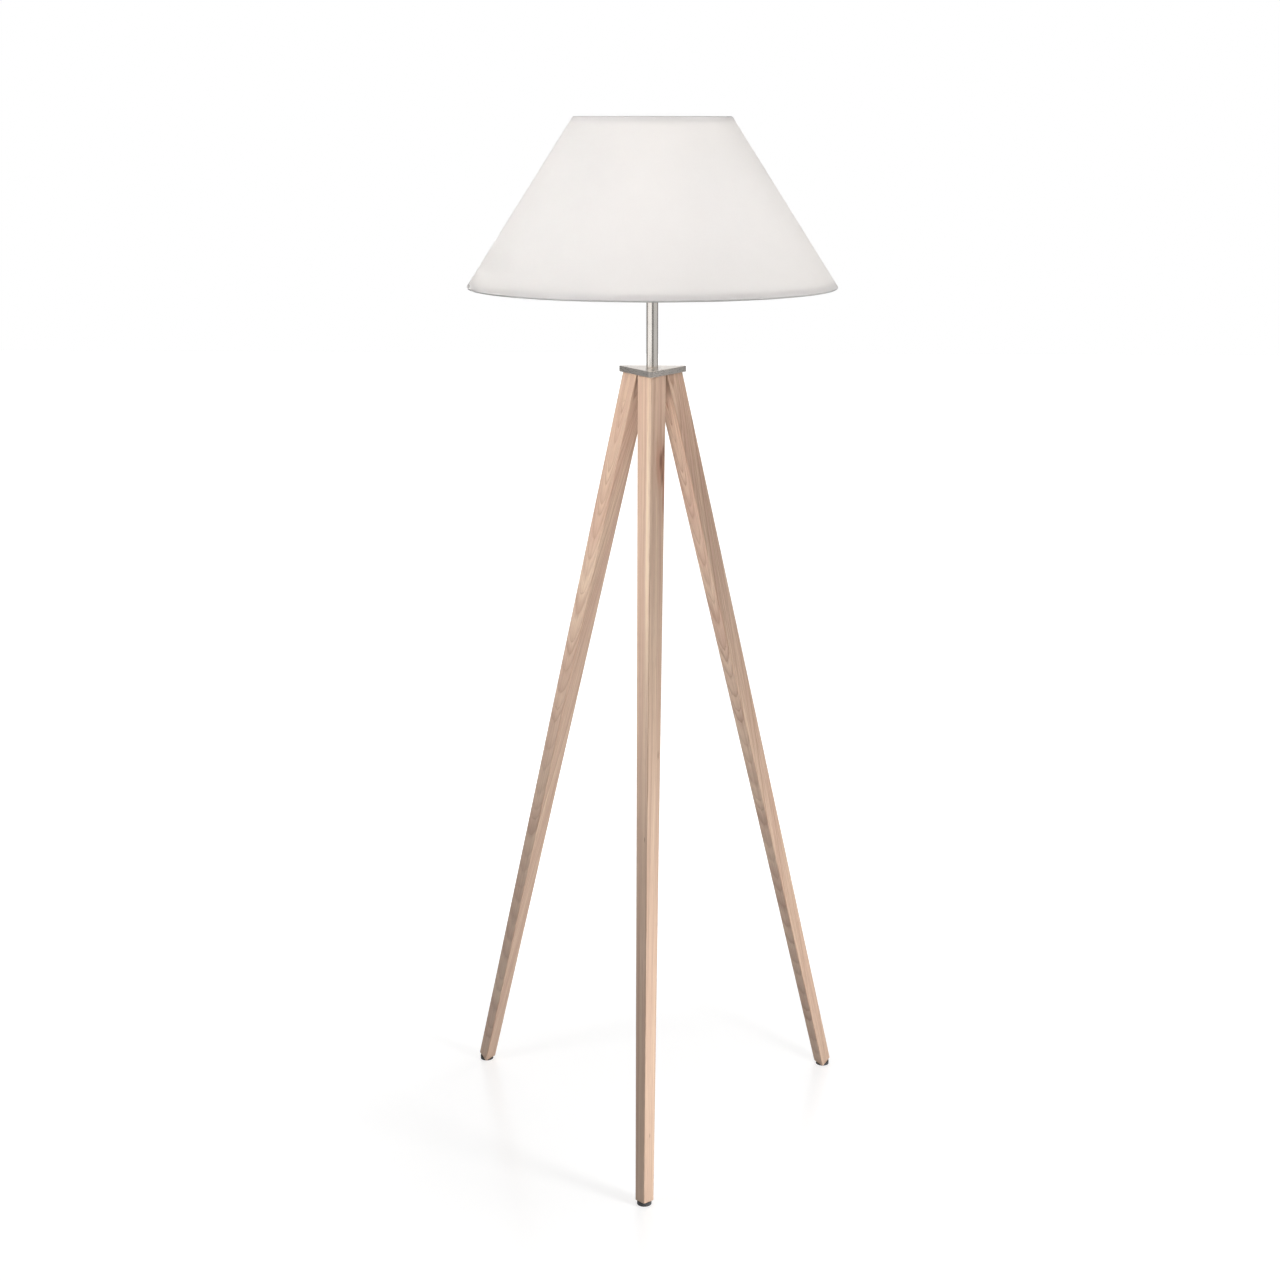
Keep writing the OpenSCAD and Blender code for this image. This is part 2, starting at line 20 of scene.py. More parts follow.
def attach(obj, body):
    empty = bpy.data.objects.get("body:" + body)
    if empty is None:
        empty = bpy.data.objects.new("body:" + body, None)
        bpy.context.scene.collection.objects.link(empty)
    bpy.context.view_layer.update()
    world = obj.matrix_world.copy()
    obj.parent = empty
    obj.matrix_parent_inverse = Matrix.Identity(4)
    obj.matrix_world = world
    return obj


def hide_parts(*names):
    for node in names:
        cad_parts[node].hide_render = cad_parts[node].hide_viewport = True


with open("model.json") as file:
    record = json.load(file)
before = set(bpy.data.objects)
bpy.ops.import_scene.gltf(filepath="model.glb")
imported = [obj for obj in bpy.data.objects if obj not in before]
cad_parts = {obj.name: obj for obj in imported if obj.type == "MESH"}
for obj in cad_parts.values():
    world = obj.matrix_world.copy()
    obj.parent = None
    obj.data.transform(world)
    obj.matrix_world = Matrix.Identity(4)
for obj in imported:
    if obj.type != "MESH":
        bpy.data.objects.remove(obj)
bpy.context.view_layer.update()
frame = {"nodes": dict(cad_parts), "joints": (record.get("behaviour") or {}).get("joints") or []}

LOG = logging.getLogger("tripod_lamp")
MM = 0.001
Colour = tuple[float, float, float]
Point2 = tuple[float, float]
Point3 = tuple[float, float, float]
Socket = bpy.types.NodeSocket
Piece = bpy.types.Object


class Body(str, Enum):
    """The bodies that a piece can ride on."""

    STAND = "stand"
    RING_NUT = "ring_nut"
    SHADE = "shade"
    BULB = "bulb"


class Slot(str, Enum):
    """The record's material slots."""

    ASH = "ash"
    SATIN_NICKEL = "satin_nickel"
    ZINC_STEEL = "zinc_steel"
    BRASS = "brass"
    BEECH = "beech"
    RUBBER = "rubber"
    SHADE_FABRIC = "shade_fabric"
    WHITE_WIRE = "white_wire"
    WHITE_PLASTIC = "white_plastic"
    CARRIER_CERAMIC = "carrier_ceramic"
    BLACK_PLASTIC = "black_plastic"
    OPAL = "opal"
    BULB_HOUSING = "bulb_housing"
    BOARD = "board"


# ---- Node trees ----


class Tree:
    """Makes, sets and links the nodes of one shader or geometry tree."""

    def __init__(self, tree: bpy.types.NodeTree) -> None:
        """Keeps the tree and empties it."""
        self.tree = tree
        tree.nodes.clear()

    def add(self, kind: str, values: dict[Any, Any] | None = None, **settings: Any) -> bpy.types.Node:
        """Adds one node.

        Args:
            kind: the node's type name.
            values: input names or numbers, each with a plain value or an output to link.
            **settings: the node's own properties.

        Returns:
            The new node.
        """
        node = self.tree.nodes.new(kind)
        for key, value in settings.items():
            setattr(node, key, value)
        for key, value in (values or {}).items():
            self.put(node.inputs[key], value)
        return node

    def put(self, socket: Socket, value: Any) -> None:
        """Links an input to an output, or sets its plain value.

        Args:
            socket: the input.
            value: an output to link, or a plain value.
        """
        if isinstance(value, Socket):
            self.tree.links.new(value, socket)
        else:
            socket.default_value = value

    def calc(self, operation: str, *values: Any, clamp: bool = False) -> Socket:
        """One Math node.

        Args:
            operation: the Math node's operation.
            *values: its inputs in order, plain or linked.
            clamp: whether the result is kept from 0 to 1.

        Returns:
            The result's output.
        """
        node = self.add("ShaderNodeMath", dict(enumerate(values)), operation=operation)
        node.use_clamp = clamp
        return node.outputs[0]

    def times(self, first: Any, second: Any) -> Socket:
        """Two values multiplied."""
        return self.calc("MULTIPLY", first, second)

    def plus(self, first: Any, second: Any, clamp: bool = False) -> Socket:
        """Two values added, and kept from 0 to 1 where asked."""
        return self.calc("ADD", first, second, clamp=clamp)

    def length(self, vector: Socket) -> Socket:
        """A vector's length."""
        return self.add("ShaderNodeVectorMath", {0: vector}, operation="LENGTH").outputs[1]

    def vector(self, operation: str, *values: Any) -> Socket:
        """One Vector Math node, and its vector output."""
        return self.add("ShaderNodeVectorMath", dict(enumerate(values)), operation=operation).outputs[0]

    def join(self, x: Any = 0.0, y: Any = 0.0, z: Any = 0.0) -> Socket:
        """A vector from three values."""
        return self.add("ShaderNodeCombineXYZ", {0: x, 1: y, 2: z}).outputs[0]

    def split(self, vector: Socket) -> Sequence[Socket]:
        """A vector's three values."""
        return self.add("ShaderNodeSeparateXYZ", {0: vector}).outputs

    def remap(self, value: Any, low: Any, high: Any, to_low: Any, to_high: Any) -> Socket:
        """A value stretched from one range to another, and kept within it."""
        node = self.add("ShaderNodeMapRange", {0: value, 1: low, 2: high, 3: to_low, 4: to_high})
        return node.outputs[0]

    def mix(self, factor: Any, first: Any, second: Any, mode: str = "MIX") -> Socket:
        """Two colours mixed by a factor.

        Args:
            factor: the share of the second colour.
            first: the first colour, plain or linked.
            second: the second colour, plain or linked.
            mode: how they mix.

        Returns:
            The mixed colour's output.
        """
        node = self.add("ShaderNodeMix", {0: factor}, data_type="RGBA", blend_type=mode)
        for number, value in ((6, first), (7, second)):
            self.put(node.inputs[number], value if isinstance(value, Socket) else (*value, 1.0))
        return node.outputs[2]

    def noise(self, vector: Socket, scale: Any, detail: float = 2.0, rough: float = 0.5) -> Socket:
        """Noise from 0 to 1 over a vector."""
        values = {"Vector": vector, "Scale": scale, "Detail": detail, "Roughness": rough}
        return self.add("ShaderNodeTexNoise", values).outputs[0]


@dataclass(frozen=True)
class Effect:
    """A shader node group that several materials place with their own values."""

    name: str
    inputs: tuple[tuple[str, str, Any], ...]
    outputs: tuple[tuple[str, str], ...]

    def place(self, tree: Tree, **values: Any) -> bpy.types.Node:
        """Puts the group into a material.

        Args:
            tree: the material's tree.
            **values: the group's inputs, with an underscore for a space.

        Returns:
            The group's node.
        """
        node = tree.add("ShaderNodeGroup", node_tree=self.group())
        for key, value in values.items():
            tree.put(node.inputs[key.replace("_", " ")], value)
        return node

    def group(self) -> bpy.types.NodeTree:
        """The group's own tree, made once.

        Returns:
            The group's tree.
        """
        made = bpy.data.node_groups.get(self.name)
        if made is not None:
            return made
        made = bpy.data.node_groups.new(self.name, "ShaderNodeTree")
        inner = Tree(made)
        for label, kind, value in self.inputs:
            made.interface.new_socket(name=label, in_out="INPUT", socket_type=kind).default_value = value
        for label, kind in self.outputs:
            made.interface.new_socket(name=label, in_out="OUTPUT", socket_type=kind)
        source, result = inner.add("NodeGroupInput"), inner.add("NodeGroupOutput")
        for label, output in self.build(inner, source.outputs).items():
            inner.put(result.inputs[label], output)
        return made

    def build(self, tree: Tree, given: Any) -> dict[str, Socket]:
        """Fills the group: each effect has its own."""
        raise NotImplementedError


VECTOR, FLOAT, COLOR = "NodeSocketVector", "NodeSocketFloat", "NodeSocketColor"
ZERO = (0.0, 0.0, 0.0)


class GrowthRings(Effect):
    """Sawn wood: rings about a wandering pith, open pores along the grain and fine fibre."""

    def build(self, tree: Tree, given: Any) -> dict[str, Socket]:
        """Fills the group.

        Args:
            tree: the group's tree.
            given: the group's inputs.

        Returns:
            The rings' tone, the broad bands, the pores, the knot and the height.
        """
        place = tree.vector("ADD", given["Place"], given["Start"])
        x, y, z = tree.split(given["Place"])
        sx, sy, sz = tree.split(place)
        slow = tree.add("ShaderNodeTexNoise", {"Vector": tree.join(sx, sy, tree.times(sz, 0.35)),
            "Scale": 5.0, "Detail": 1.0, "Roughness": 0.4})
        bend_x, bend_y, _ = tree.split(tree.vector("SUBTRACT", slow.outputs[1], (0.5, 0.5, 0.5)))
        fine = tree.noise(tree.join(sx, sy, tree.times(sz, 0.12)), 160.0, 2.0)
        wave = tree.times(tree.calc("SUBTRACT", fine, 0.5), 0.0014)
        kx, ky, kz = tree.split(tree.vector("SUBTRACT", given["Place"], given["Knot"]))
        knot_far = tree.length(tree.join(kx, ky, tree.times(kz, 0.4)))
        knot_far = tree.calc("DIVIDE", knot_far, given["Knot Size"])
        near = tree.calc("POWER", 2.718, tree.times(knot_far, -0.8))
        dx = self.from_pith(tree, x, z, given["Pith X"], given["Lean X"], bend_x, given["Wander"])
        dy = self.from_pith(tree, y, z, given["Pith Y"], given["Lean Y"], bend_y, given["Wander"])
        far = tree.calc("SQRT", tree.calc("MULTIPLY_ADD", dx, dx, tree.times(dy, dy)))
        far = tree.plus(tree.plus(far, wave), tree.times(near, 0.012))
        uneven = tree.noise(tree.join(tree.times(far, 130.0), 0.0, 0.0), 1.0, 1.0)
        years = tree.plus(tree.calc("DIVIDE", far, given["Ring Width"]), tree.times(uneven, 2.4))
        step = tree.calc("FRACT", years)
        season = tree.add("ShaderNodeTexWhiteNoise", {"W": tree.calc("FLOOR", years)},
            noise_dimensions="1D").outputs[0]
        late = tree.times(tree.calc("POWER", step, 1.9), tree.calc("MULTIPLY_ADD", season, 0.75, 0.25))
        early = tree.times(tree.remap(step, 0.0, 0.2, 1.0, 0.0),
            tree.calc("MULTIPLY_ADD", season, 0.75, 0.25))
        tone = tree.calc("MAXIMUM", late, early)
        broad = tree.noise(tree.join(tree.times(far, 135.0), 0.0, tree.times(sz, 1.6)), 1.0, 2.5)
        fibre = tree.noise(tree.join(sx, sy, tree.times(sz, 0.012)), 430.0, 3.0, 0.65)
        streak = tree.noise(tree.join(sx, sy, tree.times(sz, 0.035)), 1300.0, 0.0)
        pores = tree.times(tree.remap(streak, 0.58, 0.7, 0.0, 1.0), tree.remap(step, 0.1, 0.55, 1.0, 0.25))
        trail = tree.length(tree.join(kx, ky, tree.times(kz, 0.09)))
        trail = tree.times(tree.remap(tree.calc("DIVIDE", trail, given["Knot Size"]), 0.2, 1.1, 1.0, 0.0),
            tree.remap(fibre, 0.4, 0.62, 0.15, 1.0))
        height = tree.calc("SUBTRACT", tree.times(late, 0.3), tree.times(pores, 0.8))
        return {"Rings": tone, "Bands": broad, "Fibre": fibre, "Pores": pores, "Trail": trail,
            "Knot Mask": tree.remap(knot_far, 0.35, 1.0, 1.0, 0.0), "Height": height}

    def from_pith(self, tree: Tree, at: Any, up: Any, pith: Any, lean: Any, bend: Any, wander: Any) -> Socket:
        """The distance from the pith along one direction.

        Args:
            tree: the group's tree.
            at: the point's place along that direction.
            up: its distance along the grain.
            pith: the pith's place where the distance along the grain is zero.
            lean: how far the pith moves for each metre along the grain.
            bend: the pith's slow bend, about zero.
            wander: the bend's size.

        Returns:
            The distance's output.
        """
        line = tree.plus(pith, tree.times(up, lean))
        return tree.calc("MULTIPLY_ADD", bend, wander, tree.calc("SUBTRACT", at, line))


class GrainMark(Effect):
    """A patch, fleck or streak drawn out along the grain, with a ragged edge: a stain, or a painted
    highlight.
    """

    def build(self, tree: Tree, given: Any) -> dict[str, Socket]:
        """Fills the group.

        Args:
            tree: the group's tree.
            given: the group's inputs.

        Returns:
            The patch's mask.
        """
        x, y, z = tree.split(tree.vector("SUBTRACT", given["Place"], given["Spot"]))
        far = tree.length(tree.join(x, y, tree.times(z, given["Squash"])))
        px, py, pz = tree.split(given["Place"])
        ragged = tree.noise(tree.join(px, py, tree.times(pz, 0.06)), 620.0, 2.0)
        far = tree.plus(tree.calc("DIVIDE", far, given["Size"]), tree.calc("MULTIPLY_ADD", ragged, 1.2, -0.6))
        return {"Mask": tree.remap(far, 0.35, 1.0, 1.0, 0.0)}


class BrushedGrain(Effect):
    """Fine lines from brushing, and the faint clouds of a plated surface."""

    def build(self, tree: Tree, given: Any) -> dict[str, Socket]:
        """Fills the group.

        Args:
            tree: the group's tree.
            given: the group's inputs.

        Returns:
            The lines, the clouds, small scuffs and the height.
        """
        along = tree.vector("MULTIPLY", given["Place"], given["Stretch"])
        lines = tree.noise(along, given["Lines"], 3.0, 0.65)
        clouds = tree.noise(given["Place"], 35.0, 2.0)
        drawn = tree.vector("MULTIPLY", given["Place"], (1.0, 0.3, 1.0))
        scuffs = tree.remap(tree.noise(drawn, 420.0, 1.0), 0.66, 0.74, 0.0, 1.0)
        return {"Lines": lines, "Clouds": clouds, "Scuffs": scuffs, "Height": lines}


class Mottle(Effect):
    """The faint unevenness, dust and handling marks of moulded, painted and rubbed surfaces."""

    def build(self, tree: Tree, given: Any) -> dict[str, Socket]:
        """Fills the group.

        Args:
            tree: the group's tree.
            given: the group's inputs.

        Returns:
            Soft clouds, a fine grain, dust that lies on upward faces, and the height.
        """
        clouds = tree.noise(given["Place"], tree.times(given["Scale"], 0.06), 3.0)
        grain = tree.noise(given["Place"], given["Scale"], 2.0, 0.6)
        up = tree.split(tree.add("ShaderNodeNewGeometry").outputs["Normal"])[2]
        fine = tree.noise(given["Place"], tree.times(given["Scale"], 0.4), 1.0)
        specks = tree.remap(fine, 0.5, 0.75, 0.0, 1.0)
        dust = tree.times(tree.remap(up, 0.3, 1.0, 0.0, 1.0), specks)
        return {"Clouds": clouds, "Grain": grain, "Dust": dust, "Height": grain}


class PlainWeave(Effect):
    """A plain weave of slightly uneven threads on a flat cut of cloth."""

    def build(self, tree: Tree, given: Any) -> dict[str, Socket]:
        """Fills the group.

        Args:
            tree: the group's tree.
            given: the group's inputs.

        Returns:
            The threads' tone, slubs and the height.
        """
        x, y, _ = tree.split(given["Place"])
        turns = [tree.times(tree.calc("DIVIDE", v, given["Thread"]), math.pi) for v in (x, y)]
        warp, weft = (tree.calc("ABSOLUTE", tree.calc("SINE", turn)) for turn in turns)
        over = tree.times(*(tree.calc("SIGN", tree.calc("SINE", turn)) for turn in turns))
        choice = tree.calc("GREATER_THAN", over, 0.0)
        height = tree.add("ShaderNodeMix", {0: choice, 2: warp, 3: weft}).outputs[0]
        slub_x = tree.noise(tree.join(tree.times(x, 0.02), y), 1400.0, 1.0)
        slub_y = tree.noise(tree.join(x, tree.times(y, 0.02), 5.0), 1400.0, 1.0)
        slubs = tree.plus(tree.remap(slub_x, 0.62, 0.8, 0.0, 1.0), tree.remap(slub_y, 0.62, 0.8, 0.0, 1.0),
            clamp=True)
        clouds = tree.noise(given["Place"], 22.0, 3.0, 0.6)
        return {"Threads": height, "Slubs": slubs, "Clouds": clouds,
            "Height": tree.plus(height, tree.times(slubs, 0.5))}


GROWTH_RINGS = GrowthRings("growth_rings",
    (("Place", VECTOR, ZERO), ("Start", VECTOR, ZERO), ("Pith X", FLOAT, 0.05), ("Pith Y", FLOAT, 0.0),
     ("Lean X", FLOAT, 0.0), ("Lean Y", FLOAT, 0.0), ("Wander", FLOAT, 0.03), ("Ring Width", FLOAT, 0.003),
     ("Knot", VECTOR, ZERO), ("Knot Size", FLOAT, 0.01)),
    (("Rings", FLOAT), ("Bands", FLOAT), ("Fibre", FLOAT), ("Pores", FLOAT), ("Trail", FLOAT),
     ("Knot Mask", FLOAT), ("Height", FLOAT)))
GRAIN_MARK = GrainMark("grain_mark",
    (("Place", VECTOR, ZERO), ("Spot", VECTOR, ZERO), ("Size", FLOAT, 0.005), ("Squash", FLOAT, 0.3)),
    (("Mask", FLOAT),))
BRUSHED_GRAIN = BrushedGrain("brushed_grain",
    (("Place", VECTOR, ZERO), ("Stretch", VECTOR, (1.0, 1.0, 1.0)), ("Lines", FLOAT, 900.0)),
    (("Lines", FLOAT), ("Clouds", FLOAT), ("Scuffs", FLOAT), ("Height", FLOAT)))
MOTTLE = Mottle("mottle", (("Place", VECTOR, ZERO), ("Scale", FLOAT, 800.0)),
    (("Clouds", FLOAT), ("Grain", FLOAT), ("Dust", FLOAT), ("Height", FLOAT)))
PLAIN_WEAVE = PlainWeave("plain_weave", (("Place", VECTOR, ZERO), ("Thread", FLOAT, 0.0005)),
    (("Threads", FLOAT), ("Slubs", FLOAT), ("Clouds", FLOAT), ("Height", FLOAT)))


# ---- Finishes ----


@dataclass(frozen=True)
class Finish:
    """A finish of the lamp, made into a material once."""

    name: str
    slot: Slot
    pale: Colour
    deep: Colour
    rough: tuple[float, float]

    def material(self) -> bpy.types.Material:
        """The finish's material.

        Returns:
            The material.
        """
        made = bpy.data.materials.get(self.name)
        if made is None:
            made = bpy.data.materials.new(self.name)
            made.use_nodes = True
            tree = Tree(made.node_tree)
            surface = self.dress(tree, tree.add("ShaderNodeBsdfPrincipled"))
            tree.add("ShaderNodeOutputMaterial", {"Surface": surface})
        return made

    def dress(self, tree: Tree, shader: bpy.types.Node) -> Socket:
        """Feeds the shader: each finish has its own."""
        raise NotImplementedError

    def place(self, tree: Tree) -> Socket:
        """The piece's own coordinates."""
        return tree.add("ShaderNodeTexCoord").outputs["Object"]

    def let_through(self, tree: Tree, shader: bpy.types.Node, colour: Any, normal: Any,
            share: float) -> Socket:
        """A shader that also lets a share of the light through.

        Args:
            tree: the material's tree.
            shader: its Principled shader.
            colour: the colour that the light takes.
            normal: the relief's normal.
            share: the share of the light that goes through.

        Returns:
            The surface's shader output.
        """
        glow = tree.add("ShaderNodeBsdfTranslucent", {"Color": colour, "Normal": normal})
        return tree.add("ShaderNodeMixShader",
            {0: share, 1: shader.outputs[0], 2: glow.outputs[0]}).outputs[0]

    def relief(self, tree: Tree, height: Socket, depth: float, strength: float) -> Socket:
        """A normal from a height, with the relief's depth in metres."""
        return tree.add("ShaderNodeBump",
            {"Strength": strength, "Distance": depth, "Height": height}).outputs[0]


@dataclass(frozen=True)
class Mark:
    """One patch, fleck or streak in the wood: its place in the leg's own frame and its look."""

    spot: Point3
    size: float
    squash: float
    colour: Colour
    share: float


@dataclass(frozen=True)
class Wood(Finish):
    """Sawn wood under a clear matt lacquer."""

    start: Colour = ZERO
    pith: Point2 = (0.06, 0.01)
    lean: Point2 = (0.0, 0.0)
    wander: float = 0.03
    ring_width: float = 0.0032
    ring_share: float = 0.7
    band: Colour = (0.79, 0.605, 0.45)
    knot: Colour = (9.0, 9.0, 9.0)
    knot_size: float = 0.006
    own_place: str = ""
    marks: tuple[Mark, ...] = ()

    def dress(self, tree: Tree, shader: bpy.types.Node) -> Socket:
        """Feeds the shader from rings, bands, pores and the knot.

        Args:
            tree: the material's tree.
            shader: its Principled shader.

        Returns:
            The surface's shader output.
        """
        place = (tree.add("ShaderNodeAttribute", attribute_name=self.own_place).outputs["Vector"]
            if self.own_place else self.place(tree))
        grain = GROWTH_RINGS.place(tree, Place=place, Start=self.start,
            Pith_X=self.pith[0], Pith_Y=self.pith[1], Lean_X=self.lean[0], Lean_Y=self.lean[1],
            Wander=self.wander, Ring_Width=self.ring_width,
            Knot=self.knot, Knot_Size=self.knot_size).outputs
        colour = tree.mix(tree.remap(grain["Bands"], 0.32, 0.68, 0.0, 1.0), self.pale, self.band)
        colour = tree.mix(tree.times(grain["Rings"], self.ring_share), colour, self.deep)
        colour = tree.mix(tree.remap(grain["Fibre"], 0.36, 0.66, 0.0, 0.42), colour, self.deep)
        colour = tree.mix(tree.times(grain["Pores"], 0.3), colour, tuple(0.62 * c for c in self.deep))
        colour = tree.mix(tree.times(grain["Trail"], 0.6), colour, (0.30, 0.14, 0.08))
        colour = tree.mix(tree.times(grain["Knot Mask"], 0.9), colour, (0.25, 0.11, 0.06))
        # Knot stains and dark flecks, and on the front leg one painted highlight beside the arris.
        for mark in self.marks:
            patch = GRAIN_MARK.place(tree, Place=place, Spot=mark.spot, Size=mark.size, Squash=mark.squash)
            colour = tree.mix(tree.times(patch.outputs["Mask"], mark.share), colour, mark.colour)
        tree.put(shader.inputs["Base Color"], colour)
        tree.put(shader.inputs["Roughness"], tree.remap(grain["Fibre"], 0.3, 0.7, *self.rough))
        tree.put(shader.inputs["Normal"], self.relief(tree, grain["Height"], 0.00008, 0.6))
        return shader.outputs[0]


class Brushing(Enum):
    """How the lines of a brushed metal run: the stretch of the pattern along X, Y and Z."""

    LEVEL = (0.04, 0.04, 1.0)
    UPRIGHT = (1.0, 1.0, 0.02)
    EVEN = (1.0, 1.0, 1.0)


@dataclass(frozen=True)
class Metal(Finish):
    """Plated or turned metal."""

    brushing: Brushing = Brushing.EVEN
    lines: float = 1600.0
    relief_depth: float = 0.00002

    def dress(self, tree: Tree, shader: bpy.types.Node) -> Socket:
        """Feeds the shader from the brushed lines and the clouds.

        Args:
            tree: the material's tree.
            shader: its Principled shader.

        Returns:
            The surface's shader output.
        """
        grain = BRUSHED_GRAIN.place(tree, Place=self.place(tree), Stretch=self.brushing.value,
            Lines=self.lines).outputs
        worn = tree.plus(tree.remap(grain["Lines"], 0.3, 0.7, 0.0, 0.7),
            tree.remap(grain["Clouds"], 0.3, 0.7, 0.0, 0.3))
        tree.put(shader.inputs["Base Color"], tree.mix(worn, self.deep, self.pale))
        rough = tree.remap(worn, 0.0, 1.0, *self.rough)
        tree.put(shader.inputs["Roughness"], tree.plus(rough, tree.times(grain["Scuffs"], 0.06)))
        tree.put(shader.inputs["Normal"], self.relief(tree, grain["Height"], self.relief_depth, 0.5))
        shader.inputs["Metallic"].default_value = 1.0
        return shader.outputs[0]


@dataclass(frozen=True)
class Moulded(Finish):
    """Moulded plastic, rubber, glaze or paint: a grain, soft clouds and a little dust."""

    grain_scale: float = 1500.0
    relief_depth: float = 0.00004
    dusty: float = 0.15
    coat: float = 0.0
    specular: float = 0.5

    def dress(self, tree: Tree, shader: bpy.types.Node) -> Socket:
        """Feeds the shader from the clouds, the grain and the dust.

        Args:
            tree: the material's tree.
            shader: its Principled shader.

        Returns:
            The surface's shader output.
        """
        marks = MOTTLE.place(tree, Place=self.place(tree), Scale=self.grain_scale).outputs
        colour = tree.mix(tree.remap(marks["Clouds"], 0.3, 0.7, 0.0, 1.0), self.pale, self.deep)
        dust = tree.times(marks["Dust"], self.dusty)
        tree.put(shader.inputs["Base Color"], tree.mix(dust, colour, (0.45, 0.43, 0.40)))
        rough = tree.remap(marks["Grain"], 0.3, 0.7, *self.rough)
        tree.put(shader.inputs["Roughness"], tree.plus(rough, tree.times(dust, 0.4), clamp=True))
        tree.put(shader.inputs["Normal"], self.relief(tree, marks["Height"], self.relief_depth, 0.6))
        shader.inputs["Coat Weight"].default_value = self.coat
        shader.inputs["Specular IOR Level"].default_value = self.specular
        return shader.outputs[0]


@dataclass(frozen=True)
class ShadeCloth(Finish):
    """Smooth cloth on a stiff translucent backing, which lets the bulb's light through."""

    through: Colour = (0.93, 0.91, 0.87)
    share_through: float = 0.5
    thread: float = 0.00045
    cloth_map: str = "Cloth"
    # The rim grey is painted shade: the bottom bead's underside takes it, and the top bead's crown takes it
    # more lightly.
    rim: Colour = (0.54, 0.53, 0.525)
    rim_shade_low: Point2 = (1.3486, 1.3499)
    rim_shade_high: Point2 = (1.5981, 1.5991)

    def dress(self, tree: Tree, shader: bpy.types.Node) -> Socket:
        """Feeds the two shaders from the weave, with painted shade on the rolled edges.

        Args:
            tree: the material's tree.
            shader: its Principled shader.

        Returns:
            The surface's shader output.
        """
        cloth = tree.add("ShaderNodeUVMap", uv_map=self.cloth_map).outputs[0]
        weave = PLAIN_WEAVE.place(tree, Place=cloth, Thread=self.thread).outputs
        colour = tree.mix(tree.remap(weave["Threads"], 0.0, 1.0, 0.3, 0.0), self.pale, self.deep)
        colour = tree.mix(tree.remap(weave["Clouds"], 0.35, 0.7, 0.0, 0.22), colour, self.deep)
        colour = tree.mix(tree.times(weave["Slubs"], 0.25), colour, self.deep)
        # Painted shade: below the lower height the bottom bead goes 85 % of the way to the rim grey, and
        # above the upper height the top bead goes half of the way.
        up = tree.split(self.place(tree))[2]
        rim = tree.calc("MAXIMUM", tree.remap(up, *self.rim_shade_low, 0.85, 0.0),
            tree.remap(up, *self.rim_shade_high, 0.0, 0.5))
        colour = tree.mix(rim, colour, self.rim)
        normal = self.relief(tree, weave["Height"], 0.00005, 0.35)
        tree.put(shader.inputs["Base Color"], colour)
        tree.put(shader.inputs["Roughness"], tree.remap(weave["Threads"], 0.0, 1.0, *self.rough))
        tree.put(shader.inputs["Normal"], normal)
        shader.inputs["Specular IOR Level"].default_value = 0.25
        through = tree.mix(tree.times(weave["Slubs"], 0.3), self.through, self.deep)
        return self.let_through(tree, shader, through, normal, self.share_through)


@dataclass(frozen=True)
class Backing(Finish):
    """The stiff white sheet behind the cloth."""

    through: Colour = (0.93, 0.91, 0.87)
    share_through: float = 0.6

    def dress(self, tree: Tree, shader: bpy.types.Node) -> Socket:
        """Feeds the two shaders from soft clouds and a fine grain.

        Args:
            tree: the material's tree.
            shader: its Principled shader.

        Returns:
            The surface's shader output.
        """
        marks = MOTTLE.place(tree, Place=self.place(tree), Scale=1200.0).outputs
        cloud = tree.remap(marks["Clouds"], 0.3, 0.7, 0.0, 1.0)
        normal = self.relief(tree, marks["Height"], 0.00003, 0.4)
        tree.put(shader.inputs["Base Color"], tree.mix(cloud, self.pale, self.deep))
        tree.put(shader.inputs["Roughness"], tree.remap(marks["Grain"], 0.3, 0.7, *self.rough))
        tree.put(shader.inputs["Normal"], normal)
        through = tree.mix(cloud, self.through, tuple(0.96 * c for c in self.through))
        return self.let_through(tree, shader, through, normal, self.share_through)


@dataclass(frozen=True)
class Opal(Finish):
    """An opal diffuser, lit from inside."""

    light: Colour = (1.0, 0.84, 0.64)
    strength: float = 1.2

    def dress(self, tree: Tree, shader: bpy.types.Node) -> Socket:
        """Feeds the shader from soft clouds, and lights it.

        Args:
            tree: the material's tree.
            shader: its Principled shader.

        Returns:
            The surface's shader output.
        """
        marks = MOTTLE.place(tree, Place=self.place(tree), Scale=600.0).outputs
        cloud = tree.remap(marks["Clouds"], 0.3, 0.7, 0.0, 1.0)
        tree.put(shader.inputs["Base Color"], tree.mix(cloud, self.pale, self.deep))
        tree.put(shader.inputs["Roughness"], tree.remap(marks["Grain"], 0.3, 0.7, *self.rough))
        tree.put(shader.inputs["Emission Color"],
            tree.mix(cloud, self.light, tuple(0.92 * c for c in self.light)))
        shader.inputs["Emission Strength"].default_value = self.strength
        return shader.outputs[0]


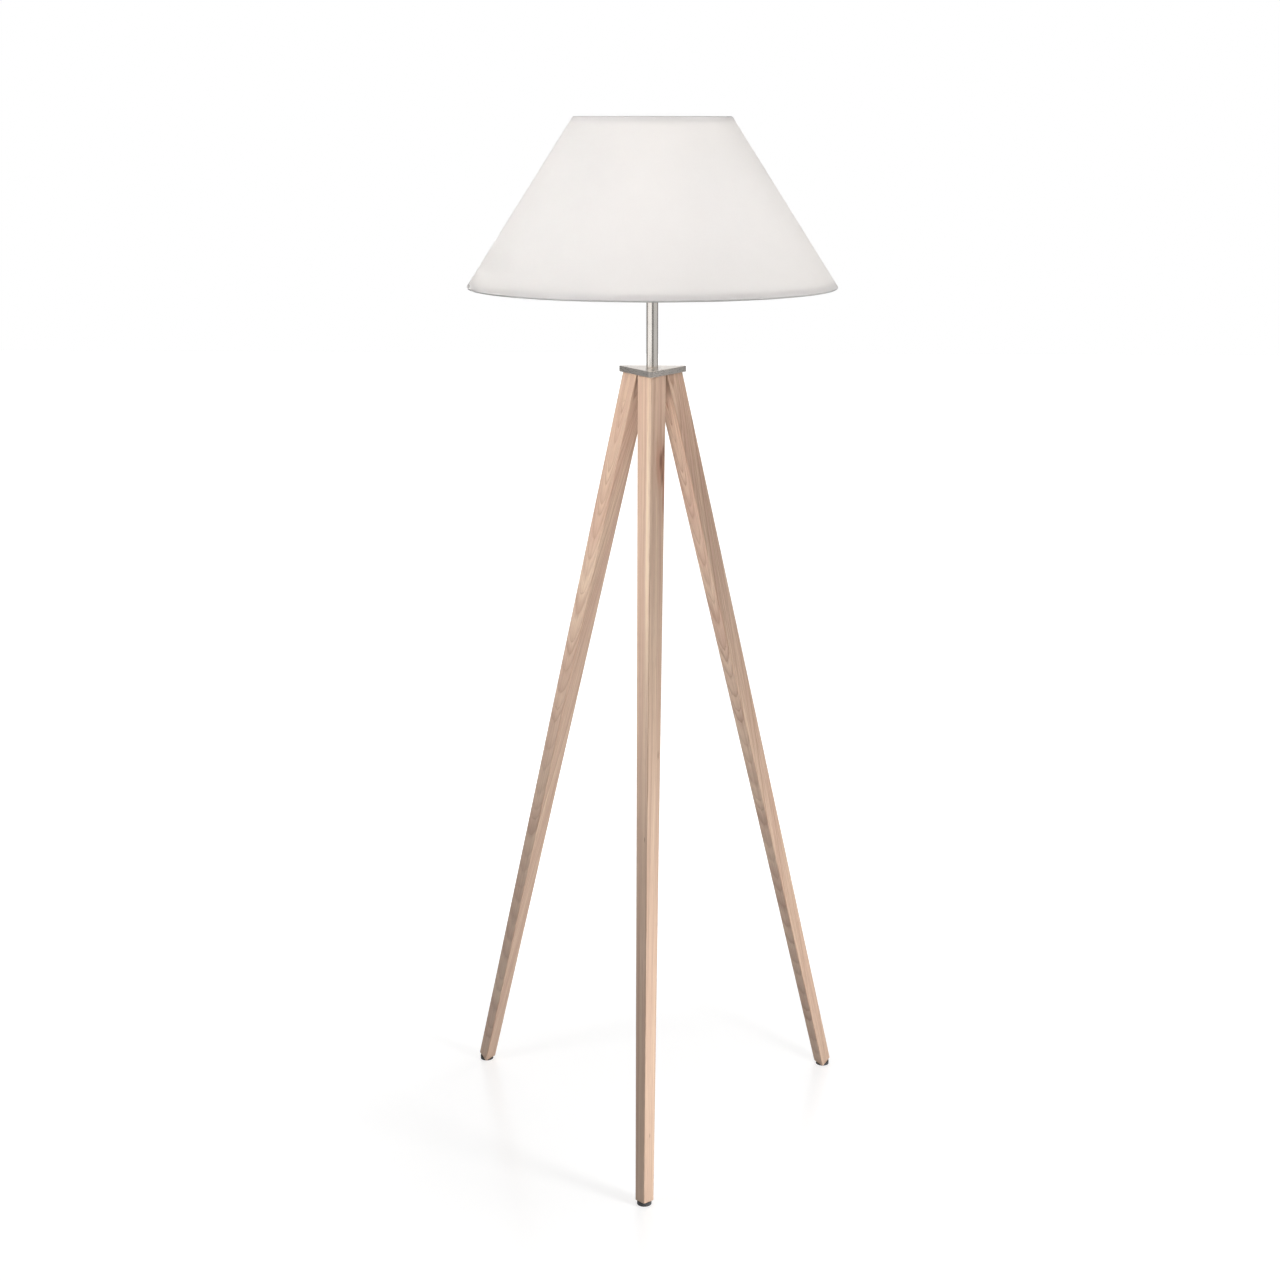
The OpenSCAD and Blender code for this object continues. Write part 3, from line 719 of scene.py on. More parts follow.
ASH_PALE, ASH_DEEP = (0.65, 0.44, 0.332), (0.44, 0.262, 0.182)
# The last of these colours is a painted highlight, not a colour of the wood.
KNOT_RED, KNOT_DARK, ARRIS_HIGHLIGHT = (0.46, 0.225, 0.145), (0.19, 0.08, 0.045), (0.85, 0.69, 0.51)
ASH_FRONT = Wood("ash_front", Slot.ASH, ASH_PALE, ASH_DEEP, (0.42, 0.56), start=(3.1, 0.4, 7.7),
    pith=(0.075, 0.03), wander=0.014, ring_width=0.0036, knot=(-0.0042, 0.0168, 1.116), knot_size=0.0085,
    own_place="grain", marks=(
        # A pale streak beside the outward arris, on the face turned to the key panel: a painted highlight
        # where the eased edge catches the light.
        Mark((0.0180, -0.0042, 1.02), 0.0068, 0.022, ARRIS_HIGHLIGHT, 0.75),
        Mark((0.0007, 0.0140, 1.115), 0.0180, 0.33, KNOT_RED, 0.6),
        Mark((-0.0072, 0.0186, 1.136), 0.0042, 0.3, KNOT_DARK, 0.8),
        Mark((-0.0012, 0.0151, 1.122), 0.0062, 0.35, KNOT_DARK, 0.8),
        Mark((-0.0061, 0.0179, 1.097), 0.0048, 0.3, KNOT_DARK, 0.85),
        Mark((-0.0087, 0.0194, 1.072), 0.0040, 0.07, KNOT_RED, 0.85),
        Mark((0.0139, -0.0040, 0.548), 0.0013, 0.22, KNOT_DARK, 0.8),
        Mark((-0.0037, 0.0147, 0.675), 0.0016, 0.2, KNOT_DARK, 0.8),
        Mark((0.0044, 0.0076, 0.100), 0.0012, 0.3, KNOT_DARK, 0.7)))
ASH_RIGHT = Wood("ash_right", Slot.ASH, ASH_PALE, (0.37, 0.205, 0.135), (0.42, 0.56), start=(1.7, 5.2, 2.9),
    pith=(-0.150, 0.0), lean=(0.110, 0.0), wander=0.012, ring_width=0.0036, ring_share=0.9, own_place="grain")
ASH_LEFT = Wood("ash_left", Slot.ASH, ASH_PALE, ASH_DEEP, (0.42, 0.56), start=(8.3, 2.6, 4.4),
    pith=(0.0745, 0.129), lean=(-0.055, -0.095), wander=0.02, ring_width=0.0036, ring_share=0.85,
    own_place="grain")
BEECH = Wood("beech_dowel", Slot.BEECH, (0.60, 0.44, 0.30), (0.44, 0.28, 0.18), (0.5, 0.62),
    pith=(0.0, -0.04), ring_width=0.0016)
NICKEL_UPRIGHT = Metal("nickel_pole", Slot.SATIN_NICKEL, (0.84, 0.80, 0.755), (0.75, 0.705, 0.65),
    (0.14, 0.2), brushing=Brushing.UPRIGHT, lines=2600.0)
NICKEL_LEVEL = Metal("nickel_plate", Slot.SATIN_NICKEL, (0.86, 0.81, 0.76), (0.66, 0.60, 0.55), (0.24, 0.34),
    brushing=Brushing.LEVEL, lines=1500.0)
NICKEL_CAP = Metal("nickel_lamp_cap", Slot.SATIN_NICKEL, (0.70, 0.68, 0.65), (0.58, 0.56, 0.53), (0.2, 0.32))
ZINC = Metal("zinc_steel", Slot.ZINC_STEEL, (0.62, 0.62, 0.61), (0.46, 0.46, 0.46), (0.32, 0.46), lines=700.0)
BRASS = Metal("turned_brass", Slot.BRASS, (0.80, 0.62, 0.32), (0.62, 0.46, 0.22), (0.24, 0.38), lines=1200.0)
RUBBER = Moulded("foot_rubber", Slot.RUBBER, (0.10, 0.102, 0.106), (0.07, 0.071, 0.074), (0.62, 0.8),
    grain_scale=2500.0, relief_depth=0.00008, dusty=0.25, specular=0.35)
WIRE_PAINT = Moulded("wire_paint", Slot.WHITE_WIRE, (0.84, 0.84, 0.82), (0.78, 0.78, 0.76), (0.3, 0.42),
    coat=0.2)
HOLDER_PLASTIC = Moulded("holder_plastic", Slot.WHITE_PLASTIC, (0.83, 0.83, 0.81), (0.77, 0.77, 0.75),
    (0.38, 0.52))
CERAMIC = Moulded("carrier_glaze", Slot.CARRIER_CERAMIC, (0.82, 0.79, 0.71), (0.76, 0.72, 0.63), (0.16, 0.26),
    coat=0.5)
BLACK_PLASTIC = Moulded("black_plastic", Slot.BLACK_PLASTIC, (0.03, 0.03, 0.032), (0.018, 0.018, 0.02),
    (0.4, 0.55))
HOUSING = Moulded("bulb_housing", Slot.BULB_HOUSING, (0.86, 0.86, 0.85), (0.80, 0.80, 0.79), (0.25, 0.36),
    coat=0.2)
BOARD = Moulded("led_board", Slot.BOARD, (0.82, 0.79, 0.66), (0.74, 0.70, 0.55), (0.4, 0.55))
PHOSPHOR = Moulded("led_phosphor", Slot.BOARD, (0.85, 0.66, 0.16), (0.78, 0.56, 0.10), (0.35, 0.5))
SHADE_CLOTH = ShadeCloth("shade_cloth", Slot.SHADE_FABRIC, (0.910, 0.886, 0.884), (0.850, 0.826, 0.824),
    (0.75, 0.9), share_through=0.28)
SHADE_BACKING = Backing("shade_backing", Slot.SHADE_FABRIC, (0.90, 0.89, 0.87), (0.87, 0.86, 0.84),
    (0.5, 0.62))
OPAL = Opal("opal_diffuser", Slot.OPAL, (0.90, 0.88, 0.84), (0.86, 0.83, 0.78), (0.3, 0.4))


# ---- Recipes in Geometry Nodes ----


@dataclass(frozen=True)
class Recipe:
    """A Geometry Nodes tree with named inputs, run on a piece and then made plain."""

    name: str
    inputs: tuple[tuple[str, str, Any], ...]

    def tree(self) -> bpy.types.NodeTree:
        """The recipe's tree, made once.

        Returns:
            The tree, with its inputs named.
        """
        made = bpy.data.node_groups.get(self.name)
        if made is not None:
            return made
        made = bpy.data.node_groups.new(self.name, "GeometryNodeTree")
        made.interface.new_socket(name="Shape", in_out="INPUT", socket_type="NodeSocketGeometry")
        for label, kind, value in self.inputs:
            made.interface.new_socket(name=label, in_out="INPUT", socket_type=kind).default_value = value
        made.interface.new_socket(name="Material", in_out="INPUT", socket_type="NodeSocketMaterial")
        made.interface.new_socket(name="Shape", in_out="OUTPUT", socket_type="NodeSocketGeometry")
        tree = Tree(made)
        given = tree.add("NodeGroupInput").outputs
        whole = tree.add("GeometryNodeRealizeInstances", {0: self.build(tree, given)}).outputs[0]
        whole = tree.add("GeometryNodeSetMaterial",
            {"Geometry": whole, "Material": given["Material"]}).outputs[0]
        tree.add("NodeGroupOutput", {0: whole})
        return made

    def build(self, tree: Tree, given: Any) -> Socket:
        """Fills the tree: each recipe has its own."""
        raise NotImplementedError

    def run(self, piece: Piece, finish: Finish, **values: Any) -> Piece:
        """Runs the recipe on a piece.

        Args:
            piece: the piece whose mesh goes in.
            finish: the finish that the result gets.
            **values: the tree's inputs, with an underscore for a space.

        Returns:
            The piece, with the result as its plain mesh.
        """
        modifier = piece.modifiers.new(self.name, "NODES")
        modifier.node_group = self.tree()
        keys = {item.name: item.identifier for item in modifier.node_group.interface.items_tree
            if item.item_type == "SOCKET" and item.in_out == "INPUT"}
        modifier[keys["Material"]] = finish.material()
        for key, value in values.items():
            modifier[keys[key.replace("_", " ")]] = value
        return settle(piece)

    def polar(self, tree: Tree, axis: Socket) -> tuple[Socket, ...]:
        """A point's place about an upright axis.

        Args:
            tree: the recipe's tree.
            axis: a point of the axis.

        Returns:
            The point's radius, angle and height, and its direction from the axis.
        """
        spot = tree.vector("SUBTRACT", tree.add("GeometryNodeInputPosition").outputs[0], axis)
        x, y, z = tree.split(spot)
        flat = tree.join(x, y, 0.0)
        return tree.length(flat), tree.calc("ARCTAN2", y, x), z, tree.vector("NORMALIZE", flat)

    def shifted(self, tree: Tree, shape: Any, way: Any, amount: Any) -> Socket:
        """A shape with each point moved along a direction by an amount."""
        offset = tree.add("ShaderNodeVectorMath", {0: way, "Scale": amount}, operation="SCALE").outputs[0]
        return tree.add("GeometryNodeSetPosition", {"Geometry": shape, "Offset": offset}).outputs[0]


class CopiesRoundAxis(Recipe):
    """Copies of a shape, evenly spaced about an upright axis."""

    def build(self, tree: Tree, given: Any) -> Socket:
        """Fills the tree.

        Args:
            tree: the recipe's tree.
            given: its inputs.

        Returns:
            The copies.
        """
        back = tree.vector("MULTIPLY", given["Axis"], (-1.0, -1.0, -1.0))
        centred = tree.add("GeometryNodeTransform",
            {"Geometry": given["Shape"], "Translation": back}).outputs[0]
        points = tree.add("GeometryNodePoints",
            {"Count": given["Count"], "Position": given["Axis"]}).outputs[0]
        index = tree.add("GeometryNodeInputIndex").outputs[0]
        step = tree.calc("DIVIDE", math.tau, given["Count"])
        turn = tree.plus(given["First Angle"], tree.times(index, step))
        copies = tree.add("GeometryNodeInstanceOnPoints",
            {"Points": points, "Instance": centred, "Rotation": tree.join(0.0, 0.0, turn)})
        return copies.outputs[0]


class ScrewThread(Recipe):
    """A thread cut into the points that lie between two radii and two heights."""

    def build(self, tree: Tree, given: Any) -> Socket:
        """Fills the tree.

        Args:
            tree: the recipe's tree.
            given: its inputs.

        Returns:
            The threaded shape.
        """
        radius, angle, height, way = self.polar(tree, given["Axis"])
        turns = tree.calc("SUBTRACT", tree.calc("DIVIDE", height, given["Pitch"]),
            tree.calc("DIVIDE", angle, math.tau))
        wave = tree.calc("COSINE", tree.times(turns, math.tau))
        groove = tree.calc("MULTIPLY_ADD", wave, 0.5, 0.5)
        inside = tree.times(tree.calc("GREATER_THAN", radius, given["Least Radius"]),
            tree.calc("LESS_THAN", radius, given["Most Radius"]))
        low, high = given["Low"], given["High"]
        run_in = tree.remap(height, low, tree.plus(low, given["Pitch"]), 0.0, 1.0)
        run_out = tree.remap(height, high, tree.calc("SUBTRACT", high, given["Pitch"]), 0.0, 1.0)
        share = tree.times(tree.times(run_in, run_out), inside)
        amount = tree.times(tree.times(share, groove), given["Depth"])
        return self.shifted(tree, given["Shape"], way, amount)


class FlutedRim(Recipe):
    """Flutes pressed into the rim of a turned piece."""

    def build(self, tree: Tree, given: Any) -> Socket:
        """Fills the tree.

        Args:
            tree: the recipe's tree.
            given: its inputs.

        Returns:
            The fluted shape.
        """
        radius, angle, _, way = self.polar(tree, given["Axis"])
        wave = tree.calc("MULTIPLY_ADD", tree.calc("COSINE", tree.times(angle, given["Count"])), 0.5, 0.5)
        flute = tree.calc("POWER", wave, given["Sharpness"])
        rim = tree.calc("GREATER_THAN", radius, given["Least Radius"])
        amount = tree.times(tree.times(flute, rim), tree.times(given["Depth"], -1.0))
        return self.shifted(tree, given["Shape"], way, amount)


class WireHoop(Recipe):
    """A hoop of round wire about an upright axis."""

    def build(self, tree: Tree, given: Any) -> Socket:
        """Fills the tree.

        Args:
            tree: the recipe's tree.
            given: its inputs.

        Returns:
            The hoop.
        """
        path = tree.add("GeometryNodeCurvePrimitiveCircle",
            {"Resolution": given["Steps"], "Radius": given["Radius"]})
        section = tree.add("GeometryNodeCurvePrimitiveCircle", {"Resolution": 14, "Radius": given["Wire"]})
        hoop = tree.add("GeometryNodeCurveToMesh",
            {"Curve": path.outputs[0], "Profile Curve": section.outputs[0]})
        soft = tree.add("GeometryNodeSetShadeSmooth", {"Geometry": hoop.outputs[0]}).outputs[0]
        return tree.add("GeometryNodeTransform",
            {"Geometry": soft, "Translation": given["Centre"]}).outputs[0]


AXIS_INPUT = ("Axis", VECTOR, ZERO)
COPIES = CopiesRoundAxis("copies_round_axis",
    (AXIS_INPUT, ("Count", "NodeSocketInt", 3), ("First Angle", FLOAT, 0.0)))
THREAD = ScrewThread("screw_thread",
    (AXIS_INPUT, ("Pitch", FLOAT, 0.001), ("Depth", FLOAT, -0.0004), ("Low", FLOAT, 0.0),
     ("High", FLOAT, 1.0), ("Least Radius", FLOAT, 0.0), ("Most Radius", FLOAT, 1.0)))
FLUTES = FlutedRim("fluted_rim",
    (AXIS_INPUT, ("Count", FLOAT, 24.0), ("Depth", FLOAT, 0.0007), ("Sharpness", FLOAT, 3.0),
     ("Least Radius", FLOAT, 0.0)))
HOOP = WireHoop("wire_hoop",
    (("Centre", VECTOR, ZERO), ("Radius", FLOAT, 0.1), ("Wire", FLOAT, 0.002),
     ("Steps", "NodeSocketInt", 160)))


# ---- Making and handing over pieces ----

AXIS = Vector((0.0, frame["joints"][0]["pos_m"][1], 0.0))


def piece_from(name: str, points: Sequence[Any], faces: Sequence[Sequence[int]]) -> Piece:
    """A new object from points in metres and faces.

    Args:
        name: the object's and the mesh's name.
        points: the points in metres.
        faces: each face's point numbers, in order.

    Returns:
        The object, linked to the scene.
    """
    mesh = bpy.data.meshes.new(name)
    mesh.from_pydata([tuple(p) for p in points], [], faces)
    mesh.update()
    made = bpy.data.objects.new(name, mesh)
    bpy.context.scene.collection.objects.link(made)
    return made


def settle(piece: Piece) -> Piece:
    """Makes a piece's modifiers part of its mesh.

    Args:
        piece: the piece.

    Returns:
        The same piece, with no modifiers.
    """
    graph = bpy.context.evaluated_depsgraph_get()
    done = bpy.data.meshes.new_from_object(piece.evaluated_get(graph))
    piece.modifiers.clear()
    old, piece.data = piece.data, done
    done.name = piece.name
    if old.users == 0:
        bpy.data.meshes.remove(old)
    return piece


def softened(piece: Piece, ease: float = 0.0, sharp: float = 38.0, steps: int = 3) -> Piece:
    """Eases a piece's edges and shades its curves smooth.

    Args:
        piece: the piece.
        ease: the width of the eased edge in millimetres, or 0 for none.
        sharp: the angle in degrees past which an edge stays sharp or is eased.
        steps: the facets of an eased edge.

    Returns:
        The same piece.
    """
    if ease:
        bevel = piece.modifiers.new("ease", "BEVEL")
        bevel.width, bevel.segments = ease * MM, steps
        bevel.limit_method, bevel.angle_limit = "ANGLE", math.radians(sharp)
        settle(piece)
    piece.data.shade_smooth()
    piece.data.set_sharp_from_angle(angle=math.radians(sharp))
    piece.modifiers.new("weigh", "WEIGHTED_NORMAL").keep_sharp = True
    return settle(piece)


def eased(corners: Sequence[tuple[float, ...]], steps: int = 4) -> list[Point2]:
    """Rounds the corners of a closed outline.

    Args:
        corners: a radius, a height and, where the corner is rounded, its radius, in millimetres.
        steps: the facets of a rounded corner.

    Returns:
        The outline's points in millimetres.
    """
    outline: list[Point2] = []
    for number, corner in enumerate(corners):
        here = Vector(corner[:2])
        if len(corner) < 3:
            outline.append(tuple(here))
            continue
        before = Vector(corners[number - 1][:2]) - here
        after = Vector(corners[(number + 1) % len(corners)][:2]) - here
        half = before.angle(after) / 2
        cut = min(corner[2] / math.tan(half), before.length * 0.48, after.length * 0.48)
        radius = cut * math.tan(half)
        middle = here + (before.normalized() + after.normalized()).normalized() * (radius / math.sin(half))
        start, end = here + before.normalized() * cut - middle, here + after.normalized() * cut - middle
        sweep = math.atan2(start.x * end.y - start.y * end.x, start.dot(end))
        for step in range(steps + 1):
            a = sweep * step / steps
            outline.append((middle.x + start.x * math.cos(a) - start.y * math.sin(a),
                middle.y + start.x * math.sin(a) + start.y * math.cos(a)))
    return outline


def turned(name: str, outline: Sequence[Point2], sides: int = 96, centre: Vector | None = None) -> Piece:
    """Turns a closed outline about an upright axis.

    Args:
        name: the piece's name.
        outline: radius and height of each point, in millimetres.
        sides: the facets round the axis.
        centre: a point of the axis in metres, or nothing for the pole's own axis.

    Returns:
        The closed piece, with its faces outward.
    """
    centre = AXIS if centre is None else centre
    doubled = sum(a[0] * b[1] - b[0] * a[1] for a, b in zip(outline, [*outline[1:], outline[0]]))
    path = list(outline) if doubled > 0 else list(outline)[::-1]
    points: list[Vector] = []
    rings: list[list[int]] = []
    for radius, height in path:
        count = 1 if radius < 1e-6 else sides
        rings.append([len(points) + n for n in range(count)])
        points += [centre + Vector((radius * MM * math.cos(n * math.tau / sides),
            radius * MM * math.sin(n * math.tau / sides), height * MM)) for n in range(count)]
    faces = []
    for low, high in zip(rings, [*rings[1:], rings[0]]):
        if len(low) == len(high) == 1:
            continue
        for n in range(sides):
            m = (n + 1) % sides
            corner = [low[n % len(low)], low[m % len(low)], high[m % len(high)], high[n % len(high)]]
            faces.append(list(dict.fromkeys(corner)))
    return piece_from(name, points, faces)


def rows(first: Point2, last: Point2, step: float) -> list[Point2]:
    """Evenly spaced points between two points of an outline, both ends kept."""
    count = max(1, round((Vector(last) - Vector(first)).length / step))
    return [tuple(Vector(first).lerp(Vector(last), n / count)) for n in range(count + 1)]


def copy_of(node: str, name: str, ease: float = 0.0, sharp: float = 38.0) -> Piece:
    """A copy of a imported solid, with its facets merged and its edges eased.

    Args:
        node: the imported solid.
        name: the piece's name.
        ease: the width of the eased edges in millimetres.
        sharp: the angle in degrees past which an edge is eased.

    Returns:
        The piece.
    """
    shape = bmesh.new()
    shape.from_mesh(frame["nodes"][node].data)
    bmesh.ops.remove_doubles(shape, verts=shape.verts, dist=0.002 * MM)
    bmesh.ops.dissolve_limit(shape, angle_limit=math.radians(0.5), verts=shape.verts, edges=shape.edges)
    mesh = bpy.data.meshes.new(name)
    shape.to_mesh(mesh)
    shape.free()
    made = bpy.data.objects.new(name, mesh)
    bpy.context.scene.collection.objects.link(made)
    return softened(made, ease, sharp)


def cut(piece: Piece, *tools: Piece) -> Piece:
    """Cuts tools out of a piece, and removes them.

    Args:
        piece: the piece to cut.
        *tools: closed shapes to take away.

    Returns:
        The same piece.
    """
    for tool in tools:
        modifier = piece.modifiers.new("cut", "BOOLEAN")
        modifier.operation, modifier.solver, modifier.object = "DIFFERENCE", "EXACT", tool
    settle(piece)
    for tool in tools:
        bpy.data.objects.remove(tool)
    return piece


def block(low: Sequence[float], high: Sequence[float]) -> Piece:
    """A cutting block between two corners in metres.

    Args:
        low: the least corner.
        high: the greatest corner.

    Returns:
        The block.
    """
    corners = [(x, y, z) for z in (low[2], high[2]) for y in (low[1], high[1]) for x in (low[0], high[0])]
    return piece_from("block", corners,
        [(0, 2, 3, 1), (4, 5, 7, 6), (0, 1, 5, 4), (2, 6, 7, 3), (0, 4, 6, 2), (1, 3, 7, 5)])


def level_card(name: str, low: Point2, high: Point2, z: float) -> Piece:
    """A level rectangle at a height, between two corners in metres."""
    corners = [(low[0], low[1], z), (high[0], low[1], z), (high[0], high[1], z), (low[0], high[1], z)]
    return piece_from(name, corners, [(0, 1, 2, 3)])


def hand_over(piece: Piece, body: Body, finish: Finish, *nodes: str) -> Piece:
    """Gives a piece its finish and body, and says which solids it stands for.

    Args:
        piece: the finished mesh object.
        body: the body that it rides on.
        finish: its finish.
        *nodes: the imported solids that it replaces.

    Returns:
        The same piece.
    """
    if not piece.data.materials or piece.data.materials[0] is None:
        piece.data.materials.clear()
        piece.data.materials.append(finish.material())
    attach(piece, body.value)
    if nodes:
        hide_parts(*nodes)
    LOG.info("%s: %d faces on %s, %s%s", piece.name, len(piece.data.polygons), body.value, finish.name,
        f", for {', '.join(nodes)}" if nodes else "")
    return piece


def keep(node: str, ease: float, body: Body, finish: Finish) -> Piece:
    """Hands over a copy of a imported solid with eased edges."""
    return hand_over(copy_of(node, f"{node}_fine", ease), body, finish, node)


# ---- Legs ----


@dataclass
class Leg:
    """A tapered leg with a triangular section, one arris outward, bored for its fixings."""

    name: str
    node: str
    azimuth: float
    finish: Wood
    foot_r: float = 338.0
    top_r: float = 27.0
    side_top: float = 45.0
    side_foot: float = 29.0
    edge_r: float = 1.2
    foot_ease: float = 1.2
    top_ease: float = 1.4
    foot_gap: float = 3.4
    top_z: float = 1217.0
    insert_bore: float = 4.55
    insert_floor: float = 1197.0
    dowel_bore: float = 2.55
    dowel_r: float = 39.0
    dowel_floor: float = 1204.0
    screw_bore: float = 1.55
    screw_top: float = 21.6
    rings: int = 28
    corner_steps: int = 5

    @property
    def splay(self) -> float:
        """The leg's lean from upright."""
        return math.atan((self.foot_r - self.top_r) / (self.top_z - self.foot_gap))

    @property
    def length(self) -> float:
        """The leg's length along its middle."""
        return (self.top_z - self.foot_gap) / math.cos(self.splay)

    def from_leg(self) -> Matrix:
        """The move from the leg's own frame to the lamp's, both in millimetres."""
        return (Matrix.Translation(AXIS / MM) @ Matrix.Rotation(math.radians(self.azimuth), 4, "Z")
            @ Matrix.Translation((self.foot_r, 0.0, self.foot_gap)) @ Matrix.Rotation(-self.splay, 4, "Y"))

    def section(self, up: float, inset: float = 0.0) -> list[Vector]:
        """The eased triangle at a distance up the leg.

        Args:
            up: distance from the foot.
            inset: how far the corners are drawn in.

        Returns:
            The section's points in the leg's own frame.
        """
        side = self.side_foot + (self.side_top - self.side_foot) * up / self.length
        reach = side / math.sqrt(3.0) - 2.0 * self.edge_r - inset
        points = []
        for corner in (0.0, 120.0, 240.0):
            for step in range(self.corner_steps + 1):
                a = math.radians(corner - 60.0 + 120.0 * step / self.corner_steps)
                points.append(Vector((reach * math.cos(math.radians(corner)) + self.edge_r * math.cos(a),
                    reach * math.sin(math.radians(corner)) + self.edge_r * math.sin(a), up)))
        return points

    def top_section(self) -> list[Vector]:
        """The section where the level cut under the plate meets the leg's sides.

        Returns:
            The section's points in the leg's own frame.
        """
        ends = zip(self.section(self.foot_ease), self.section(self.length))
        level = self.top_z - self.foot_gap
        rise = [(a, b, a.x * math.sin(self.splay) + a.z * math.cos(self.splay),
            b.x * math.sin(self.splay) + b.z * math.cos(self.splay)) for a, b in ends]
        return [a.lerp(b, (level - low) / (high - low)) for a, b, low, high in rise]

    def build(self) -> Piece:
        """Lofts, bores and finishes the leg.

        Returns:
            The finished leg.
        """
        loops = []
        for step in range(3):
            a = math.radians(90.0 * step / 3)
            loops.append(self.section(self.foot_ease * (1.0 - math.cos(a)),
                self.foot_ease * (1.0 - math.sin(a))))
        foot, top = self.section(self.foot_ease), self.top_section()
        full = 1.0 - self.top_ease / self.length
        loops += [[a.lerp(b, full * n / self.rings) for a, b in zip(foot, top)]
            for n in range(self.rings + 1)]
        middle = sum(top, Vector()) / len(top)
        for step in range(1, 4):
            a = math.radians(90.0 * step / 3)
            drop, draw = self.top_ease * (1.0 - math.sin(a)), 2.0 * self.top_ease * (1.0 - math.cos(a))
            loops.append([p + (middle - p).normalized() * draw - Vector((0.0, 0.0, drop)) for p in top])
        count = len(foot)
        place = self.from_leg()
        points = [place @ p * MM for loop in loops for p in loop]
        faces = [(k * count + n, k * count + (n + 1) % count, (k + 1) * count + (n + 1) % count,
            (k + 1) * count + n) for k in range(len(loops) - 1) for n in range(count)]
        faces += [tuple(range(count))[::-1], tuple(range((len(loops) - 1) * count, len(loops) * count))]
        leg = piece_from(self.name, points, faces)
        outward = Matrix.Rotation(math.radians(self.azimuth), 3, "Z")
        spots = ((self.top_r, self.insert_bore, self.insert_floor, self.top_z + 4.0),
            (self.dowel_r, self.dowel_bore, self.dowel_floor, self.top_z + 4.0),
            (self.foot_r, self.screw_bore, -4.0, self.screw_top))
        cut(leg, *(turned("bore", [(0.0, low), (bore, low), (bore, high), (0.0, high)], 32,
            AXIS + outward @ Vector((r * MM, 0.0, 0.0))) for r, bore, low, high in spots))
        back = place.inverted()
        grain = leg.data.attributes.new(self.finish.own_place, "FLOAT_VECTOR", "POINT")
        for vertex, value in zip(leg.data.vertices, grain.data):
            value.vector = back @ (vertex.co / MM) * MM
        return hand_over(softened(leg), Body.STAND, self.finish, self.node)


@dataclass
class Feet:
    """The rubber glides and the screws that hold them."""

    foot_r: float = 338.0
    recess: float = 1.2
    head_d: float = 6.0
    head_h: float = 1.4
    screw_d: float = 3.0
    screw_l: float = 18.0
    screw_pitch: float = 1.2
    slot_long: float = 1.7
    slot_thin: float = 0.35
    first: float = -90.0

    def build(self) -> None:
        """Makes the glides, and one screw copied to the three feet."""
        hand_over(copy_of("foot_glides", "foot_glide_pads", 0.7, 30.0), Body.STAND, RUBBER, "foot_glides")
        top = self.recess + self.head_h
        tip = top + self.screw_l
        centre = AXIS + Vector((self.foot_r * MM, 0.0, 0.0))
        shank = self.screw_d / 2
        head = eased([(0.0, self.recess), (self.head_d / 2, self.recess, 0.5), (self.head_d / 2, top, 0.2)])
        outline = [*head, (shank, top), *rows((shank, top + 1.0), (shank, tip - 2.5), 0.2), (0.0, tip)]
        screw = turned("glide_screws_fine", outline, 32, centre)
        THREAD.run(screw, ZINC, Axis=centre, Pitch=self.screw_pitch * MM, Depth=-0.4 * MM,
            Low=(top + 1.0) * MM, High=(tip - 2.0) * MM, Least_Radius=(shank - 0.1) * MM,
            Most_Radius=(shank + 0.1) * MM)
        low, deep = (self.recess - 1.0) * MM, (self.recess + 0.9) * MM
        long, thin = self.slot_long * MM, self.slot_thin * MM
        cut(screw, block((centre.x - long, centre.y - thin, low), (centre.x + long, centre.y + thin, deep)),
            block((centre.x - thin, centre.y - long, low), (centre.x + thin, centre.y + long, deep)))
        softened(screw)
        COPIES.run(screw, ZINC, Axis=AXIS, Count=3, First_Angle=math.radians(self.first))
        hand_over(screw, Body.STAND, ZINC, "glide_screws")


# ---- Plate, pole and fixings ----


